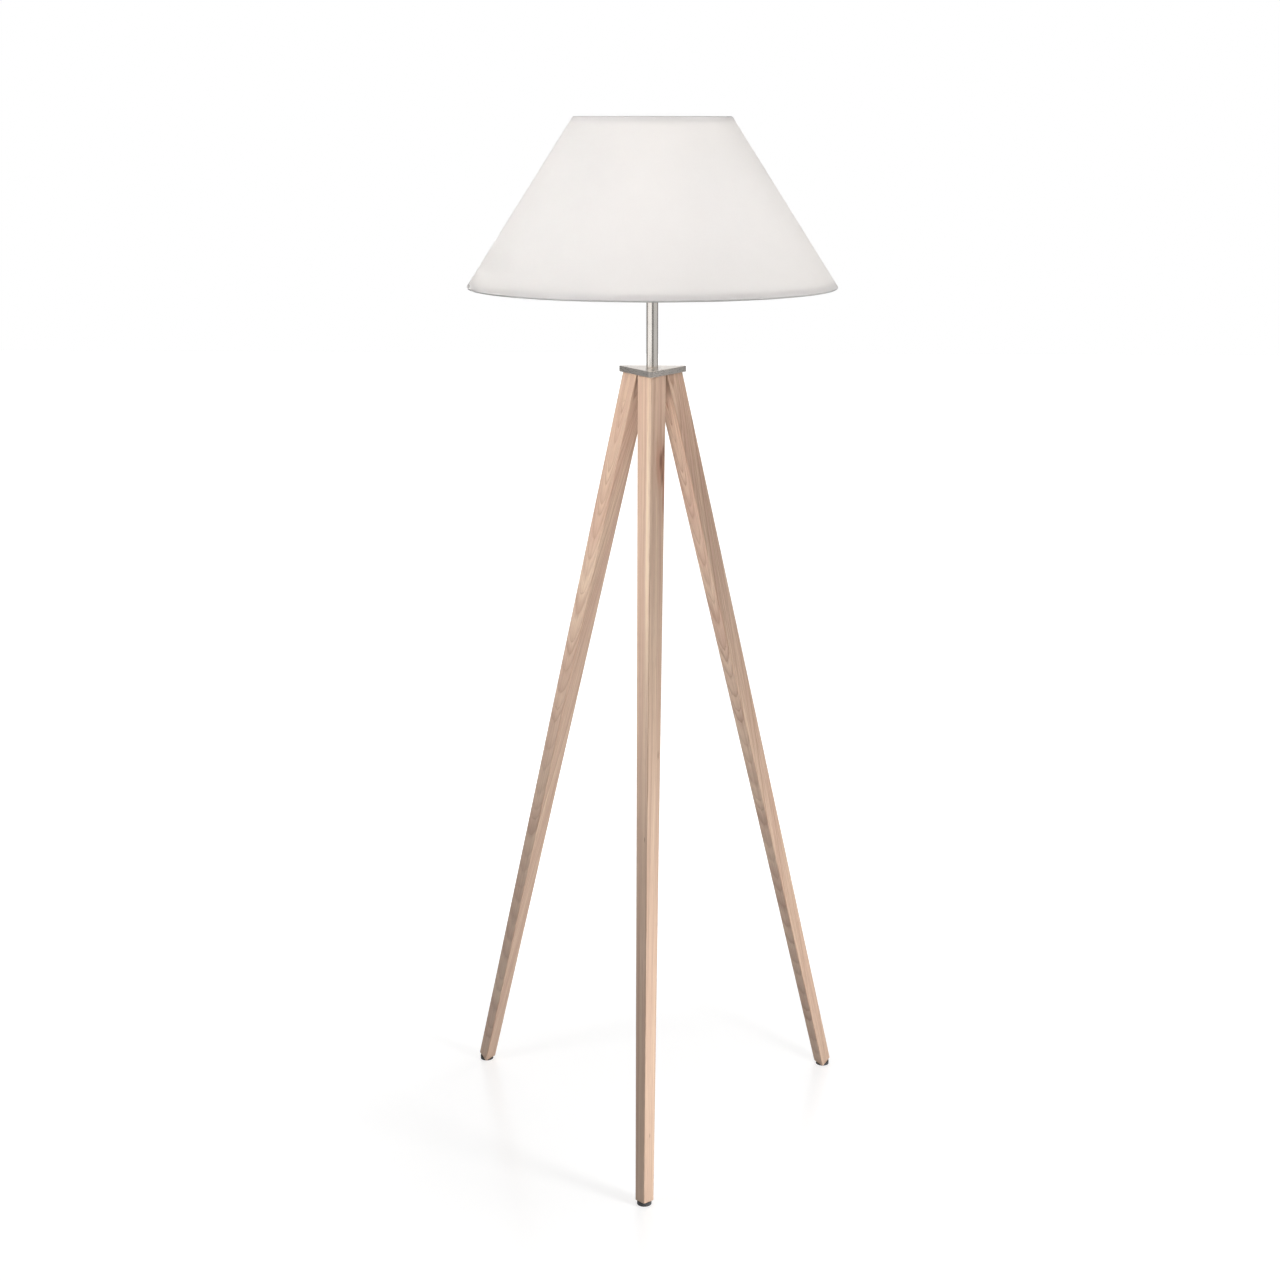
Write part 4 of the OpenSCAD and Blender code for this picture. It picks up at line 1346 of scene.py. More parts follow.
@dataclass
class PlateAndPole:
    """The triangular plate with its cover, the fixings under it and the pole."""

    top_z: float = 1226.0
    pole_r: float = 9.0
    pole_wall: float = 1.2
    pole_top: float = 1410.0
    nipple_r: float = 4.95
    nipple_bore: float = 3.8
    nipple_low: float = 1195.5
    nipple_high: float = 1238.0
    gland_low: float = 1186.5
    gland_seat: float = 1195.5
    gland_top: float = 1204.5
    gland_r: float = 8.5
    cord_r: float = 3.6
    nipple_pitch: float = 1.0
    gland_bore: float = 5.0
    gland_flutes: float = 18.0

    def pipe(self, name: str, low: float, high: float, outer: float, inner: float, ease: float) -> Piece:
        """A turned pipe about the pole's axis with eased ends."""
        corners = [(inner, low, ease), (outer, low, ease), (outer, high, ease), (inner, high, ease)]
        return softened(turned(name, eased(corners)))

    def threaded(self, name: str, low: float, high: float) -> Piece:
        """A threaded nipple about the pole's axis.

        Args:
            name: the piece's name.
            low: the lower end's height in millimetres.
            high: the upper end's height in millimetres.

        Returns:
            The nipple.
        """
        outline = [(self.nipple_bore, low),
            *rows((self.nipple_r, low + 0.4), (self.nipple_r, high - 0.4), 0.17), (self.nipple_bore, high)]
        outline.insert(1, (self.nipple_r - 0.4, low))
        outline.insert(-1, (self.nipple_r - 0.4, high))
        rod = turned(name, outline, 40)
        THREAD.run(rod, BRASS, Axis=AXIS, Pitch=self.nipple_pitch * MM, Depth=-0.45 * MM, Low=low * MM,
            High=high * MM, Least_Radius=(self.nipple_r - 0.05) * MM, Most_Radius=(self.nipple_r + 0.05) * MM)
        return softened(rod)

    def build(self) -> None:
        """Makes each piece from the plate up, and then what hangs below it."""
        keep("plate_cover", 0.7, Body.STAND, NICKEL_LEVEL)
        keep("mounting_plate", 0.3, Body.STAND, ZINC)
        pole = self.pipe("pole", self.top_z, self.pole_top, self.pole_r, self.pole_r - self.pole_wall, 0.25)
        hand_over(pole, Body.STAND, NICKEL_UPRIGHT, "pole_tube")
        keep("pole_bushes", 0.3, Body.STAND, ZINC)
        keep("cover_spacer", 0.3, Body.STAND, ZINC)
        nipple = self.threaded("lower_nipple_fine", self.nipple_low, self.nipple_high)
        hand_over(nipple, Body.STAND, BRASS, "lower_nipple")
        keep("nipple_washer", 0.25, Body.STAND, ZINC)
        keep("nipple_nut", 0.45, Body.STAND, ZINC)
        gland = turned("cord_gland_fine", eased([(self.cord_r, self.gland_low, 0.9),
            (self.gland_r - 2.0, self.gland_low, 0.9), (self.gland_r, self.gland_seat, 2.0),
            (self.gland_r, self.gland_top, 0.7), (self.gland_bore, self.gland_top, 0.4),
            (self.gland_bore, self.gland_seat), (self.cord_r, self.gland_seat)]), 144)
        FLUTES.run(gland, BLACK_PLASTIC, Axis=AXIS, Count=self.gland_flutes, Depth=0.5 * MM, Sharpness=2.0,
            Least_Radius=(self.gland_r - 0.6) * MM)
        hand_over(softened(gland), Body.STAND, BLACK_PLASTIC, "cord_gland")
        keep("leg_inserts", 0.3, Body.STAND, BRASS)
        keep("leg_bolts", 0.3, Body.STAND, ZINC)
        keep("leg_dowels", 0.5, Body.STAND, BEECH)


# ---- Lampholder ----


@dataclass
class Lampholder:
    """The holder's cap, sleeve, contacts and shade ring nut."""

    low: float = 1410.0
    collar_h: float = 8.0
    collar_r: float = 8.0
    shoulder_h: float = 6.0
    wall: float = 2.0
    body_r: float = 19.5
    cap_top: float = 1434.0
    seat: float = 1429.0
    ledge_r: float = 15.8
    inner_r: float = 17.5
    bore_r: float = 5.0
    ring_z: float = 1460.0
    flange_r: float = 25.5
    flange_t: float = 3.0
    thread_r: float = 19.8
    thread_l: float = 18.0
    carrier_top: float = 1441.2
    lamp_r: float = 13.6
    lamp_pitch: float = 3.63
    lamp_thread_low: float = 1444.0
    outer_pitch: float = 2.5
    slot_half: float = 2.7
    slot_near: float = 14.3
    slot_far: float = 12.0
    slot_top: float = 1460.5
    drill_r: float = 1.5
    drill_l: float = 16.0
    nut_low: float = 1462.7
    nut_h: float = 8.0
    nut_r: float = 27.0
    nut_bore: float = 19.9
    flutes: int = 24

    def cap(self) -> Piece:
        """The cap, hollow above its floor, with its grub screw's hole.

        Returns:
            The cap.
        """
        shoulder = self.low + self.collar_h
        floor = shoulder + self.wall
        outline = eased([(self.bore_r, self.low, 0.4), (self.collar_r, self.low, 1.0),
            (self.collar_r, shoulder, 2.0), (self.body_r, shoulder + self.shoulder_h, 3.0),
            (self.body_r, self.cap_top, 0.3), (self.inner_r, self.cap_top), (self.inner_r, self.seat),
            (self.ledge_r, self.seat), (self.ledge_r, floor + self.shoulder_h),
            (self.collar_r - self.wall, floor), (self.bore_r, floor)])
        cap = turned("holder_cap_fine", outline)
        hole = [(0.0, 0.0), (self.drill_r, 0.0), (self.drill_r, self.drill_l), (0.0, self.drill_l)]
        drill = turned("bore", hole, 32, Vector())
        middle = AXIS + Vector((0.0, 0.0, (self.low + self.collar_h / 2) * MM))
        drill.data.transform(Matrix.Translation(middle) @ Matrix.Rotation(math.radians(-90.0), 4, "X"))
        return softened(cut(cap, drill))

    def sleeve(self) -> Piece:
        """The sleeve, threaded outside for the ring nut and inside for the lamp.

        Returns:
            The sleeve.
        """
        top = self.ring_z + self.thread_l
        under = self.ring_z - self.flange_t
        outline = [*eased([(self.inner_r, self.cap_top, 0.3), (self.body_r, self.cap_top, 0.3),
            (self.body_r, under, 0.8), (self.flange_r, under, 0.8), (self.flange_r, self.ring_z, 0.5)]),
            *rows((self.thread_r, self.ring_z), (self.thread_r, top - 0.4), 0.4), (self.thread_r - 0.5, top),
            *rows((self.lamp_r, top), (self.lamp_r, self.carrier_top), 0.45),
            (self.inner_r, self.carrier_top)]
        sleeve = turned("holder_sleeve_fine", outline, 96)
        THREAD.run(sleeve, HOLDER_PLASTIC, Axis=AXIS, Pitch=self.outer_pitch * MM, Depth=-0.9 * MM,
            Low=(self.ring_z + 0.2) * MM, High=(top + 1.5) * MM, Least_Radius=(self.thread_r - 0.1) * MM,
            Most_Radius=(self.thread_r + 0.1) * MM)
        THREAD.run(sleeve, HOLDER_PLASTIC, Axis=AXIS, Pitch=self.lamp_pitch * MM, Depth=1.1 * MM,
            Low=self.lamp_thread_low * MM, High=(top - 0.5) * MM, Least_Radius=(self.lamp_r - 0.1) * MM,
            Most_Radius=(self.lamp_r + 0.1) * MM)
        slot = block((AXIS.x - self.slot_half * MM, AXIS.y - self.slot_near * MM, (self.cap_top - 1.0) * MM),
            (AXIS.x + self.slot_half * MM, AXIS.y - self.slot_far * MM, self.slot_top * MM))
        return softened(cut(sleeve, slot))

    def ring_nut(self) -> Piece:
        """The fluted nut that holds the shade's ring down.

        Returns:
            The nut.
        """
        high = self.nut_low + self.nut_h
        outline = eased([(self.nut_bore, self.nut_low, 0.4), (self.nut_r, self.nut_low, 0.9),
            (self.nut_r, high, 1.4), (self.nut_r - 3.5, high, 0.6), (self.nut_r - 4.2, high - 0.8, 0.5),
            (self.nut_bore, high - 0.8, 0.4)])
        nut = turned("shade_ring_nut_fine", outline, self.flutes * 10)
        FLUTES.run(nut, HOLDER_PLASTIC, Axis=AXIS, Count=float(self.flutes), Depth=0.85 * MM, Sharpness=3.0,
            Least_Radius=(self.nut_r - 1.4) * MM)
        return softened(nut)

    def build(self) -> None:
        """Makes the holder's pieces from the pole's top up."""
        pole = PlateAndPole()
        nipple = pole.threaded("upper_nipple_fine", self.low - 12.0, self.low + self.collar_h)
        hand_over(nipple, Body.STAND, BRASS, "upper_nipple")
        hand_over(self.cap(), Body.STAND, HOLDER_PLASTIC, "holder_cap")
        keep("entry_grub_screw", 0.2, Body.STAND, ZINC)
        keep("contact_carrier", 0.5, Body.STAND, CERAMIC)
        keep("centre_contact", 0.2, Body.STAND, BRASS)
        keep("side_contact", 0.15, Body.STAND, BRASS)
        keep("terminal_screws", 0.25, Body.STAND, ZINC)
        hand_over(self.sleeve(), Body.STAND, HOLDER_PLASTIC, "holder_sleeve")
        hand_over(self.ring_nut(), Body.RING_NUT, HOLDER_PLASTIC, "shade_ring_nut")


# ---- Shade ----


@dataclass
class Shade:
    """The empire shade: cloth on a stiff backing, rolled over two hoops, on a three-arm carrier."""

    bottom_r: float = 283.0
    top_r: float = 119.0
    low: float = 1347.0
    high: float = 1600.0
    wall: float = 1.0
    cloth: float = 0.45
    bead_r: float = 2.5
    wire_r: float = 2.0
    tuck: float = 9.0
    sides: int = 192
    side_rows: int = 16
    arm_r: float = 1.6
    arm_first: float = -25.0
    ring_inner: float = 21.0
    ring_outer: float = 29.0
    ring_low: float = 1460.1
    ring_high: float = 1462.6
    roll_turn: float = 215.0
    roll_steps: int = 14
    seam_w: float = 14.0
    seam_half_t: float = 0.28
    seam_columns: int = 8
    seam_rows: int = 40

    @property
    def lean(self) -> float:
        """The side's lean from upright."""
        return math.atan((self.bottom_r - self.top_r) / (self.high - self.low))

    def side_r(self, z: float) -> float:
        """The outer side's radius at a height."""
        return self.bottom_r - (self.bottom_r - self.top_r) * (z - self.low) / (self.high - self.low)

    def hoop(self, top: bool) -> Point2:
        """The radius and height of a hoop's centre."""
        z = self.high - self.bead_r if top else self.low + self.bead_r
        return self.side_r(z) - self.bead_r / math.cos(self.lean), z

    def spot(self, hoop: Point2, along: float, out: float) -> Point2:
        """A point at a distance up the side from a hoop, and out from it."""
        return (hoop[0] - along * math.sin(self.lean) + out * math.cos(self.lean),
            hoop[1] + along * math.cos(self.lean) + out * math.sin(self.lean))

    def roll(self, top: bool) -> list[Point2]:
        """The cloth's roll over a hoop: round the outside, along the tuck and back round the inside.

        Args:
            top: whether it is the top hoop.

        Returns:
            The outline from the outer side to the backing's inner face.
        """
        hoop, way = self.hoop(top), 1.0 if top else -1.0
        turns = [math.radians(self.roll_turn * n / self.roll_steps) for n in range(self.roll_steps + 1)]
        inner = self.bead_r - self.cloth
        near = self.bead_r - self.wall
        path = [(self.bead_r * math.sin(a), self.bead_r * math.cos(a)) for a in turns]
        path += [(-3.2, -0.75), (-4.6, 0.5), (-5.8, near - self.cloth), (-self.tuck, near - self.cloth)]
        path += [(-self.tuck, near - 0.03), (-5.7, near - 0.03), (-4.3, 0.85), (-2.9, -0.42)]
        path += [(inner * math.sin(a), inner * math.cos(a)) for a in reversed(turns)]
        path += [(-2.4, inner), (-2.8, near)]
        return [self.spot(hoop, along * way, out) for along, out in path]

    def skin(self) -> Piece:
        """The cloth and its backing, one closed shell with a flat-cut map.

        Returns:
            The shell.
        """
        top, bottom = self.roll(True), self.roll(False)[::-1]
        outer = rows(bottom[-1], top[0], (Vector(top[0]) - Vector(bottom[-1])).length / self.side_rows)[1:-1]
        inner = rows(top[-1], bottom[0], (Vector(top[-1]) - Vector(bottom[0])).length / self.side_rows)[1:-1]
        outline = [*outer, *top, *inner, *bottom]
        shell = turned("shade_cover", outline, self.sides)
        backing = set(range(len(outer) + len(top) - 1, len(outer) + len(top) + len(inner)))
        shell.data.materials.append(SHADE_CLOTH.material())
        shell.data.materials.append(SHADE_BACKING.material())
        places = shell.data.uv_layers.new(name=SHADE_CLOTH.cloth_map)
        lean = math.sin(self.lean)
        for face in shell.data.polygons:
            if face.index // self.sides in backing:
                face.material_index = 1
            spots = [shell.data.vertices[v].co - AXIS for v in face.vertices]
            turn = [math.atan2(s.x, s.y) % math.tau for s in spots]
            if max(turn) - min(turn) > math.pi:
                turn = [a - math.tau if a > math.pi else a for a in turn]
            for loop, s, a in zip(face.loop_indices, spots, turn):
                far = math.hypot(s.x, s.y) / lean
                places.data[loop].uv = (far * math.cos(a * lean), far * math.sin(a * lean))
        return softened(shell)

    def arms(self) -> Piece:
        """The three arms with their weld beads, from the top hoop to the ring.

        Returns:
            The arms, as one piece.
        """
        hoop_r, hoop_z = self.hoop(True)
        start = Vector((self.ring_outer - 0.6, 0.0, (self.ring_low + self.ring_high) / 2)) * MM
        end = Vector((hoop_r - 0.6, 0.0, hoop_z - 0.8)) * MM
        run = end - start
        length = run.length / MM
        r = self.arm_r
        outline = [(0.0, 0.0), (r + 0.7, 0.0), (r + 0.65, 0.7), (r + 0.3, 1.5),
            *rows((r, 2.3), (r, length - 2.3), 20.0), (r + 0.25, length - 1.5), (r + 0.5, length - 0.7),
            (r + 0.4, length), (0.0, length)]
        arm = turned("shade_arms_fine", outline, 16, Vector())
        aim = run.to_track_quat("Z", "Y").to_matrix().to_4x4()
        arm.data.transform(Matrix.Translation(AXIS + start) @ aim)
        softened(arm)
        return COPIES.run(arm, WIRE_PAINT, Axis=AXIS, Count=3, First_Angle=math.radians(self.arm_first))

    def seam(self) -> Piece:
        """The lapped edge of the skin, down the back.

        Returns:
            The seam strip, with its map.
        """
        wide, count, steps = self.seam_w / 2, self.seam_columns, self.seam_rows
        points, half = [], self.seam_half_t
        for layer in (0.0, 1.0):
            for k in range(steps + 1):
                z = self.low + 1.2 + (self.high - self.low - 2.4) * k / steps
                for n in range(count + 1):
                    x = wide * (2.0 * n / count - 1.0)
                    edge = min(1.0, (wide - abs(x)) / 0.8) * min(1.0, k / 0.5, (steps - k) / 0.5)
                    r = self.side_r(z) + (0.08 + (2 * half - 0.1) * edge if layer else -0.15)
                    points.append(AXIS + Vector((x, math.sqrt(r * r - x * x), z)) * MM)
        row, slab = count + 1, (steps + 1) * (count + 1)
        faces = [(k * row + n, (k + 1) * row + n, (k + 1) * row + n + 1, k * row + n + 1)
            for k in range(steps) for n in range(count)]
        faces += [tuple(i + slab for i in reversed(f)) for f in faces]
        rim = [(0, n) for n in range(count)] + [(k, count) for k in range(steps)]
        rim += [(steps, n) for n in range(count, 0, -1)] + [(k, 0) for k in range(steps, 0, -1)]
        ids = [k * row + n for k, n in rim]
        faces += [(a, b, b + slab, a + slab) for a, b in zip(ids, [*ids[1:], ids[0]])]
        strip = piece_from("shade_seam", points, faces)
        places = strip.data.uv_layers.new(name=SHADE_CLOTH.cloth_map)
        for loop in strip.data.loops:
            spot = strip.data.vertices[loop.vertex_index].co - AXIS
            places.data[loop.index].uv = (spot.x, spot.z / math.cos(self.lean))
        return softened(strip)

    def build(self) -> None:
        for name, top, node in (("top_hoop", True, "shade_top_wire"),
                ("bottom_hoop", False, "shade_bottom_wire")):
            hoop_r, hoop_z = self.hoop(top)
            hoop = piece_from(name, [], [])
            HOOP.run(hoop, WIRE_PAINT, Centre=AXIS + Vector((0.0, 0.0, hoop_z * MM)), Radius=hoop_r * MM,
                Wire=self.wire_r * MM)
            hand_over(hoop, Body.SHADE, WIRE_PAINT, node)
        ring = softened(turned("fitter_ring_fine", eased([(self.ring_inner, self.ring_low, 0.5),
            (self.ring_outer, self.ring_low, 0.7), (self.ring_outer, self.ring_high, 0.7),
            (self.ring_inner, self.ring_high, 0.5)])))
        hand_over(ring, Body.SHADE, WIRE_PAINT, "fitter_ring")
        arms = hand_over(self.arms(), Body.SHADE, WIRE_PAINT, "shade_arms")
        seam = hand_over(self.seam(), Body.SHADE, SHADE_CLOTH, "shade_back_seam")
        skin = hand_over(self.skin(), Body.SHADE, SHADE_CLOTH, "shade_skin", "shade_top_hem",
            "shade_bottom_hem")


# ---- Bulb ----


@dataclass
class Bulb:
    """The lamp: opal dome, housing, board with its chips, screw cap and contact."""

    centre: float = 1524.0
    dome_r: float = 30.0
    dome_wall: float = 1.5
    cut_z: float = 1506.0
    neck_z: float = 1478.5
    neck_r: float = 14.5
    lip_r: float = 19.9
    wall: float = 2.0
    cap_low: float = 1452.5
    cap_r: float = 13.2
    pitch: float = 3.63
    chips: int = 10
    chip_r: float = 14.5
    chip_half: Point2 = (1.4, 1.75)
    chip_h: float = 0.7
    board_top: float = 1.6
    tip: tuple[Point2, ...] = ((0.0, 1449.3), (1.6, 1449.35), (2.9, 1449.6), (3.7, 1450.0), (4.0, 1450.3),
        (0.0, 1450.3))

    def dome(self) -> Piece:
        """The opal dome, a thin shell closed round its rim.

        Returns:
            The dome.
        """
        drop = self.centre - self.cut_z
        outline: list[Point2] = []
        for radius, way in ((self.dome_r, 1), (self.dome_r - self.dome_wall, -1)):
            low = -math.asin(drop / radius)
            arc = [low + (math.pi / 2 - low) * n / 26 for n in range(27)][::way]
            outline += [(0.0 if abs(a - math.pi / 2) < 1e-9 else radius * math.cos(a),
                self.centre + radius * math.sin(a)) for a in arc]
        return softened(turned("bulb_dome", outline, 72))

    def housing(self) -> Piece:
        """The housing that flares from the screw cap to the dome.

        Returns:
            The housing.
        """
        rim = math.sqrt(self.dome_r ** 2 - (self.centre - self.cut_z) ** 2)
        flare = [(self.neck_r + (rim - self.neck_r) * math.sin(n / 10 * math.pi / 2) ** 1.15,
            self.neck_z + (self.cut_z - self.neck_z) * n / 10) for n in range(11)]
        inside = [(max(0.0, r - self.wall - 0.6), max(z, self.neck_z + self.wall))
            for r, z in reversed(flare[:-1])]
        outline = [(0.0, self.neck_z), *flare, (self.lip_r, self.cut_z), *inside,
            (0.0, self.neck_z + self.wall)]
        return softened(turned("bulb_housing_fine", outline, 72))

    def screw_cap(self) -> Piece:
        """The screw cap with its round thread.

        Returns:
            The cap.
        """
        high = self.neck_z
        outline = [(0.0, self.cap_low), (self.cap_r - 1.6, self.cap_low),
            *rows((self.cap_r, self.cap_low + 2.4), (self.cap_r, high - 3.0), 0.4),
            (self.cap_r, high), (0.0, high)]
        cap = turned("bulb_cap_fine", outline, 64)
        THREAD.run(cap, NICKEL_CAP, Axis=AXIS, Pitch=self.pitch * MM, Depth=-1.1 * MM,
            Low=(self.cap_low + 2.0) * MM, High=(high - 2.0) * MM, Least_Radius=(self.cap_r - 0.1) * MM,
            Most_Radius=(self.cap_r + 0.1) * MM)
        return softened(cap)

    def led_chips(self) -> Piece:
        """The board's chips, one copied round.

        Returns:
            The chips, as one piece.
        """
        top = self.cut_z + self.board_top
        spot = AXIS / MM + Vector((self.chip_r, 0.0, 0.0))
        wide, deep = self.chip_half
        chip = block(Vector((spot.x - wide, spot.y - deep, top)) * MM,
            Vector((spot.x + wide, spot.y + deep, top + self.chip_h)) * MM)
        chip.name = "led_chips"
        softened(chip, 0.2, steps=2)
        return COPIES.run(chip, PHOSPHOR, Axis=AXIS, Count=self.chips, First_Angle=0.0)

    def build(self) -> None:
        """Makes the bulb's pieces from the dome down."""
        hand_over(self.dome(), Body.BULB, OPAL, "bulb_glass")
        hand_over(self.housing(), Body.BULB, HOUSING, "bulb_housing")
        keep("led_board", 0.15, Body.BULB, BOARD)
        hand_over(self.led_chips(), Body.BULB, PHOSPHOR)
        hand_over(self.screw_cap(), Body.BULB, NICKEL_CAP, "bulb_cap")
        keep("bulb_insulator", 0.4, Body.BULB, BLACK_PLASTIC)
        tip = turned("bulb_tip_fine", self.tip, 32)
        hand_over(softened(tip, sharp=60.0), Body.BULB, ZINC, "bulb_tip")


# ---- Studio ----


@dataclass(frozen=True)
class Panel:
    """A soft light panel."""

    name: str
    at: Point3
    towards: Point3
    size: Point2
    power: float
    spread: float = 180.0


@dataclass(frozen=True)
class Card:
    """A curved grey card round the pole, seen only in reflections, between two angles."""

    name: str
    start: float
    end: float
    grey: float
    radius: float = 0.45
    low: float = 0.95
    high: float = 1.42


@dataclass
class Studio:
    """Floor, lights, background and camera."""

    lens: float = 59.83
    camera_at: Point3 = (0.0990, -3.2675, 1.587)
    heading: float = -0.0360
    pitch: float = 0.2374
    world_level: float = 0.25
    floor_glow: float = 0.635
    floor_rim: float = 0.8
    floor_half: float = 12.0
    floor_z: float = -0.0002
    floor_grey: float = 0.5
    floor_rough: float = 0.24
    floor_sheen: float = 0.4
    glow_near: float = 0.35
    glow_far: float = 0.9
    sensor: float = 36.0
    clip_end: float = 50.0
    panels: tuple[Panel, ...] = (
        Panel("key_panel", (-0.9, -0.4, 1.1), (-0.05, 0.0, 0.8), (0.3, 0.2), 2.8),
        Panel("key_grid", (-0.9, -0.4, 1.1), (-0.05, 0.0, 0.9), (0.3, 0.2), 0.4, 60.0),
        Panel("fill_low", (1.0, -0.6, 0.12), (0.0, 0.0, 0.3), (0.6, 0.2), 5.4),
        Panel("fill_side", (0.9, -0.75, 0.55), (0.0, -0.1, 0.1), (0.25, 0.25), 2.3, 110.0),
        Panel("shade_front", (-0.1, -2.5, 2.5), (0.0, 0.0, 1.53), (0.6, 0.6), 1.06, 48.0),
        Panel("shade_front_left", (-1.0, -2.2, 2.4), (0.0, 0.0, 1.5), (0.6, 0.6), 0.78, 48.0),
        Panel("shade_grid", (0.0, -2.8, 1.9), (0.0, 0.0, 1.49), (0.5, 0.3), 0.17, 18.0),
        Panel("shade_left", (-1.9, -0.5, 1.9), (-0.1, 0.0, 1.47), (0.5, 0.5), 0.52, 26.0),
        Panel("shade_right", (1.9, -0.5, 1.9), (0.1, 0.0, 1.47), (0.5, 0.5), 0.58, 26.0),
        Panel("shade_back", (0.0, 2.8, 2.2), (0.0, 0.0, 1.47), (0.6, 0.4), 0.75, 26.0),
        Panel("back_left", (-1.1, 2.1, 0.35), (0.0, 0.0, 0.75), (0.8, 0.5), 14.0),
        Panel("back_right", (1.1, 2.1, 0.35), (0.0, 0.0, 0.75), (0.8, 0.5), 14.0),
    )
    flag_z: float = 1.29
    flag_box: tuple[Point2, Point2] = ((-1.3, -1.4), (-0.32, 0.4))
    cards: tuple[Card, ...] = (
        Card("card_back_left", -168.0, -96.0, 0.28),
        Card("card_back_right", 112.0, 168.0, 0.26),
        Card("card_low", -60.0, -5.0, 0.4, high=1.181),
        Card("card_line", -5.0, 30.0, 0.25),
        Card("card_right", 30.0, 112.0, 0.62),
    )

    def camera(self) -> None:
        """Sets the camera at the usual viewing height and distance."""
        data = bpy.data.cameras.new("camera")
        data.lens, data.sensor_width, data.clip_end = self.lens, self.sensor, self.clip_end
        made = bpy.data.objects.new("camera", data)
        x, y, z = self.camera_at
        made.location = (x, AXIS.y + y, z)
        flat = math.cos(self.pitch)
        way = Vector((math.sin(self.heading) * flat, math.cos(self.heading) * flat, -math.sin(self.pitch)))
        made.rotation_euler = way.to_track_quat("-Z", "Y").to_euler()
        bpy.context.scene.collection.objects.link(made)
        bpy.context.scene.camera = made

    def seen(self, tree: Tree) -> Socket:
        """One where the camera, a reflection or glass looks, and zero for other light.

        Args:
            tree: the material's or surround's tree.

        Returns:
            The value's output.
        """
        path = tree.add("ShaderNodeLightPath").outputs
        mirrored = tree.calc("MAXIMUM", path["Is Glossy Ray"], path["Is Transmission Ray"])
        return tree.calc("MAXIMUM", path["Is Camera Ray"], mirrored)

    def world(self) -> None:
        """A white surround where it is seen, and an even soft light elsewhere."""
        world = bpy.data.worlds.new("surround")
        world.use_nodes = True
        tree = Tree(world.node_tree)
        level = tree.remap(self.seen(tree), 0.0, 1.0, self.world_level, 1.0)
        back = tree.add("ShaderNodeBackground", {"Color": (1.0, 1.0, 1.0, 1.0), "Strength": level})
        tree.add("ShaderNodeOutputWorld", {"Surface": back.outputs[0]})
        bpy.context.scene.world = world

    def floor(self) -> None:
        """A white floor with a soft sheen, which keeps the lamp's shadow and has a faint painted shade round
        the lamp.
        """
        half = self.floor_half
        floor = level_card("floor", (-half, -half), (half, half), self.floor_z)
        material = bpy.data.materials.new("studio_floor")
        material.use_nodes = True
        tree = Tree(material.node_tree)
        grey = self.floor_grey
        shader = tree.add("ShaderNodeBsdfPrincipled", {"Base Color": (grey, grey, grey, 1.0),
            "Roughness": self.floor_rough, "Specular IOR Level": self.floor_sheen,
            "Emission Color": (1.0, 1.0, 1.0, 1.0)})
        x, y, _ = tree.split(tree.add("ShaderNodeTexCoord").outputs["Object"])
        far = tree.calc("SQRT", tree.calc("MULTIPLY_ADD", x, x, tree.times(y, y)))
        # The glow is lower near the lamp so that its cast shadows stay below white; this also paints a faint
        # grey disc of shade round the lamp's feet.
        glow = tree.remap(far, self.glow_near, self.glow_far, self.floor_glow, self.floor_rim)
        tree.put(shader.inputs["Emission Strength"], tree.times(self.seen(tree), glow))
        tree.add("ShaderNodeOutputMaterial", {"Surface": shader.outputs[0]})
        floor.data.materials.append(material)

    def light(self, panel: Panel) -> None:
        """Hangs one soft panel.

        Args:
            panel: the panel to hang.
        """
        data = bpy.data.lights.new(panel.name, "AREA")
        data.shape, data.energy = "RECTANGLE", panel.power
        data.size, data.size_y = panel.size
        data.spread = math.radians(panel.spread)
        made = bpy.data.objects.new(panel.name, data)
        made.location = panel.at
        made.rotation_euler = (Vector(panel.towards) - Vector(panel.at)).to_track_quat("-Z", "Y").to_euler()
        made.visible_camera = made.visible_glossy = False
        bpy.context.scene.collection.objects.link(made)

    def flag(self) -> None:
        """A level flag over the key panel, which keeps its light off the shade."""
        low, high = self.flag_box
        made = level_card("flag", low, high, self.flag_z)
        material = bpy.data.materials.new("studio_flag")
        material.use_nodes = True
        surface = material.node_tree.nodes["Principled BSDF"]
        surface.inputs["Base Color"].default_value = (0.02, 0.02, 0.02, 1.0)
        made.data.materials.append(material)
        made.visible_camera = made.visible_diffuse = made.visible_glossy = made.visible_transmission = False

    def hang(self, card: Card) -> None:
        """Hangs one card.

        Args:
            card: the card to hang.
        """
        steps = 16
        points = []
        for n in range(steps + 1):
            a = math.radians(-90.0 + card.start + (card.end - card.start) * n / steps)
            x, y = card.radius * math.cos(a), card.radius * math.sin(a)
            points += [AXIS + Vector((x, y, z)) for z in (card.low, card.high)]
        made = piece_from(card.name, points, [(2 * n, 2 * n + 2, 2 * n + 3, 2 * n + 1) for n in range(steps)])
        material = bpy.data.materials.new(card.name)
        material.use_nodes = True
        tree = Tree(material.node_tree)
        grey = tree.add("ShaderNodeEmission", {"Color": (card.grey, card.grey, card.grey, 1.0)})
        tree.add("ShaderNodeOutputMaterial", {"Surface": grey.outputs[0]})
        made.data.materials.append(material)
        made.visible_camera = made.visible_diffuse = made.visible_shadow = made.visible_transmission = False

    def build(self) -> None:
        """Sets up the view, the surround, the floor and the panels."""
        bpy.context.scene.view_settings.view_transform = "Standard"
        self.camera()
        self.world()
        self.floor()
        for panel in self.panels:
            self.light(panel)
        for card in self.cards:
            self.hang(card)
        self.flag()


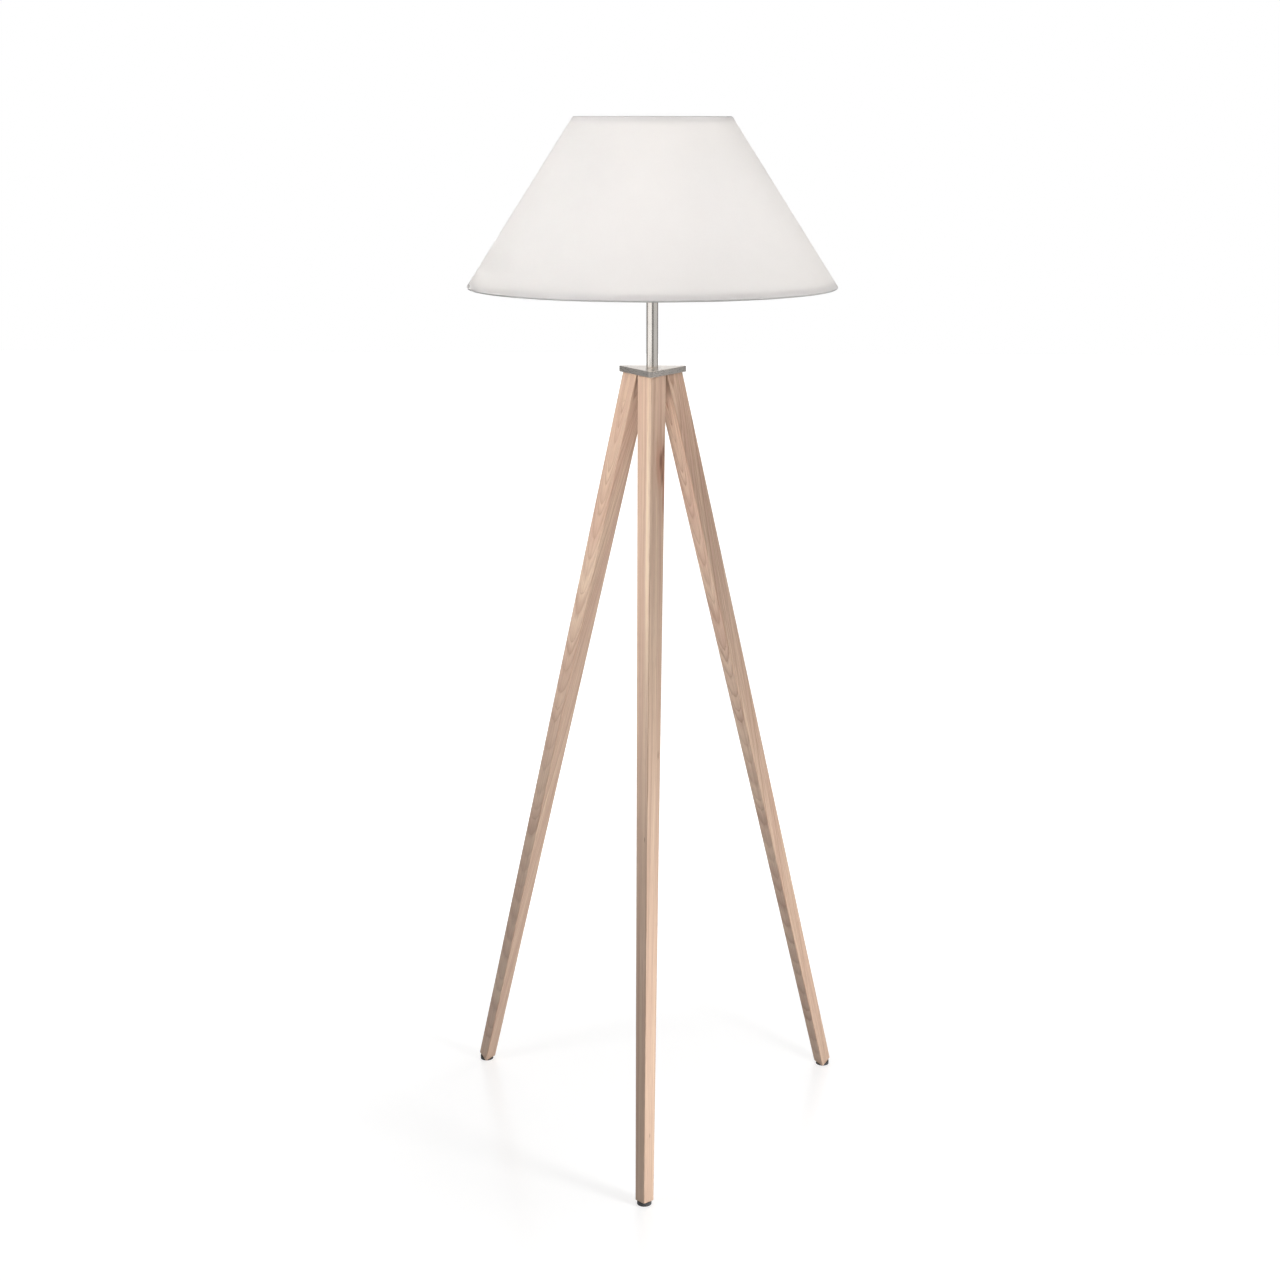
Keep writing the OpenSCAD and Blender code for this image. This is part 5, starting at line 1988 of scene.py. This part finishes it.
def main() -> None:
    """Builds the lamp from its feet up, then the studio."""
    logging.basicConfig(level=logging.INFO, format="%(name)s: %(message)s")
    Studio().build()
    for side, azimuth, finish in (("front", -90.0, ASH_FRONT), ("right", 30.0, ASH_RIGHT),
            ("left", 150.0, ASH_LEFT)):
        Leg(f"leg_{side}_wood", f"leg_{side}", azimuth, finish).build()
    Feet().build()
    PlateAndPole().build()
    Lampholder().build()
    Shade().build()
    Bulb().build()


if __name__ == "__main__":
    main()
